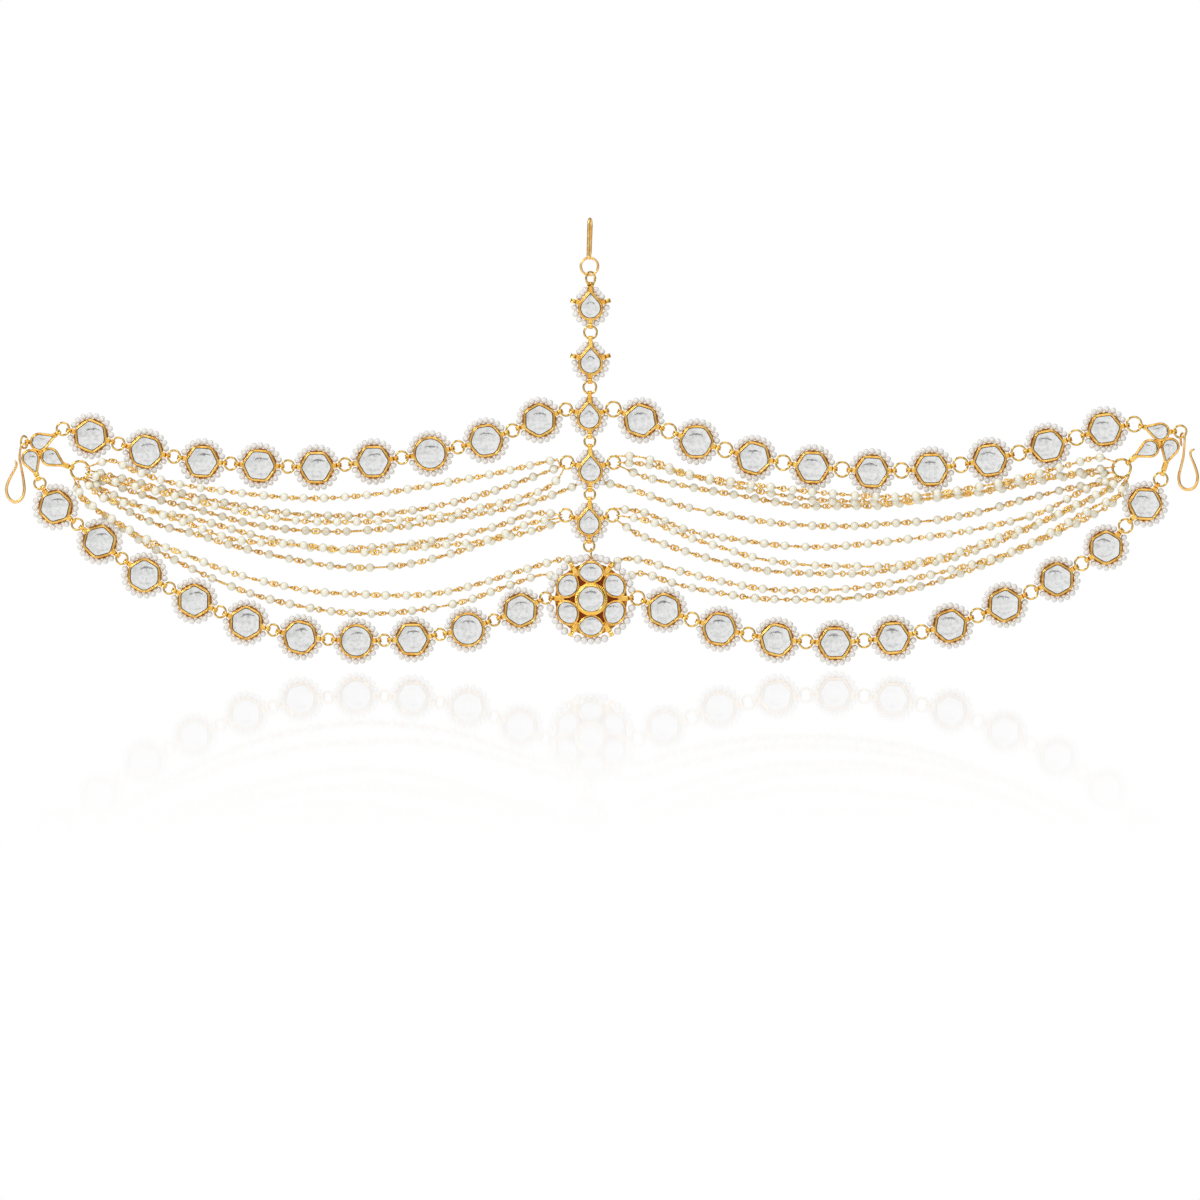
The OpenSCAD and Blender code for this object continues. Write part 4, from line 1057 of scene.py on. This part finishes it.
def make_studio():
    scene = bpy.context.scene
    scene.view_settings.view_transform = "Standard"
    world = bpy.data.worlds.new("white_surround")
    scene.world = world
    world.use_nodes = True
    world.node_tree.nodes["Background"].inputs["Color"].default_value = (1, 1, 1, 1)
    world.node_tree.nodes["Background"].inputs["Strength"].default_value = 1.0

    mesh = bpy.data.meshes.new("floor")
    mesh.from_pydata([(FLOOR_HALF * x, FLOOR_HALF * y, 0)
                      for x, y in ((-1, -1), (1, -1), (1, 1), (-1, 1))], [], [(0, 1, 2, 3)])
    floor = bpy.data.objects.new("floor", mesh)
    floor.location = (0, 0, FLOOR_Z * MM)
    scene.collection.objects.link(floor)
    made, tree, output, place = new_material("lit_white_acrylic")
    parts = add(tree, "ShaderNodeSeparateXYZ", {0: place})
    share = spread(tree, parts.outputs[1], -2900.0, 0.0, 0.0, 0.3)
    glow = add(tree, "ShaderNodeEmission", {"Color": (1, 1, 1, 1), "Strength": 1.0})
    gloss = add(tree, "ShaderNodeBsdfGlossy", {"Color": (1, 1, 1, 1), "Roughness": 0.012})
    both = add(tree, "ShaderNodeMixShader", {0: share, 1: glow.outputs[0],
                                             2: gloss.outputs[0]})
    tree.links.new(both.outputs[0], output.inputs["Surface"])
    mesh.materials.append(made)

    strip = 1120
    for k in range(5):
        card(f"tent_front_{k + 1}", (strip * (k - 2), -4700, 900), (strip, 3200), (0, 1, 0),
             "#FFFFFF", 0.78 + 0.06 * k)
    card("tent_left", (-2800, -2400, 900), (3200, 4600), (1, 0, 0), "#FFF4E6", 0.18)
    card("tent_right", (2800, -2400, 900), (3200, 4600), (-1, 0, 0), "#FFF4E6", 0.14)
    card("tent_top", (0, -2400, 2450), (5600, 4600), (0, 0, -1), "#FFFFFF", 0.32)
    for side in (-1, 1):
        card(("flag_left", "flag_right")[side > 0], (1650 * side, 1250, 720), (2680, 1760),
             (-side, -1, 0), "#FFF8EE", 0.25)
    card("flag_top", (0, 1250, 1400), (2600, 2620), (0, -0.69, -0.73), "#FFFFFF", 0.32)
    dark_arc("hood_edge", (0, -4500, VIEW_AT[1] + 1240), 980, 280, 190, (130, 420))
    card("lens_ring", (-200, -4500, VIEW_AT[1] - 270), (210, 260), (0, 1, 0), "#000000", 0.0)

    for name, place, size, power in (
            ("key_softbox", (-1.5, -1.5, 1.3), 0.8, 18.0),
            ("top_softbox", (0.1, -0.7, 1.1), 0.8, 5.5)):
        light = bpy.data.lights.new(name, "AREA")
        light.size = size
        light.energy = power
        lamp = bpy.data.objects.new(name, light)
        lamp.location = place
        aim = -np.array([place[0], place[1], place[2] + 0.1])
        rows = axes_of(-aim, (1, 0, 0.001))
        lamp.rotation_mode = "QUATERNION"
        lamp.rotation_quaternion = Matrix(rows.T.tolist()).to_quaternion()
        lamp.visible_camera = False
        scene.collection.objects.link(lamp)

    camera_data = bpy.data.cameras.new("camera")
    camera_data.sensor_width = 36
    camera_data.lens = 36 * CAMERA_AWAY / VIEW_WIDTH
    camera_data.clip_end = 100
    camera = bpy.data.objects.new("camera", camera_data)
    camera.location = (VIEW_AT[0] * MM, -CAMERA_AWAY * MM, VIEW_AT[1] * MM)
    camera.rotation_euler = (math.radians(90), 0, 0)
    scene.collection.objects.link(camera)
    scene.camera = camera


make_studio()
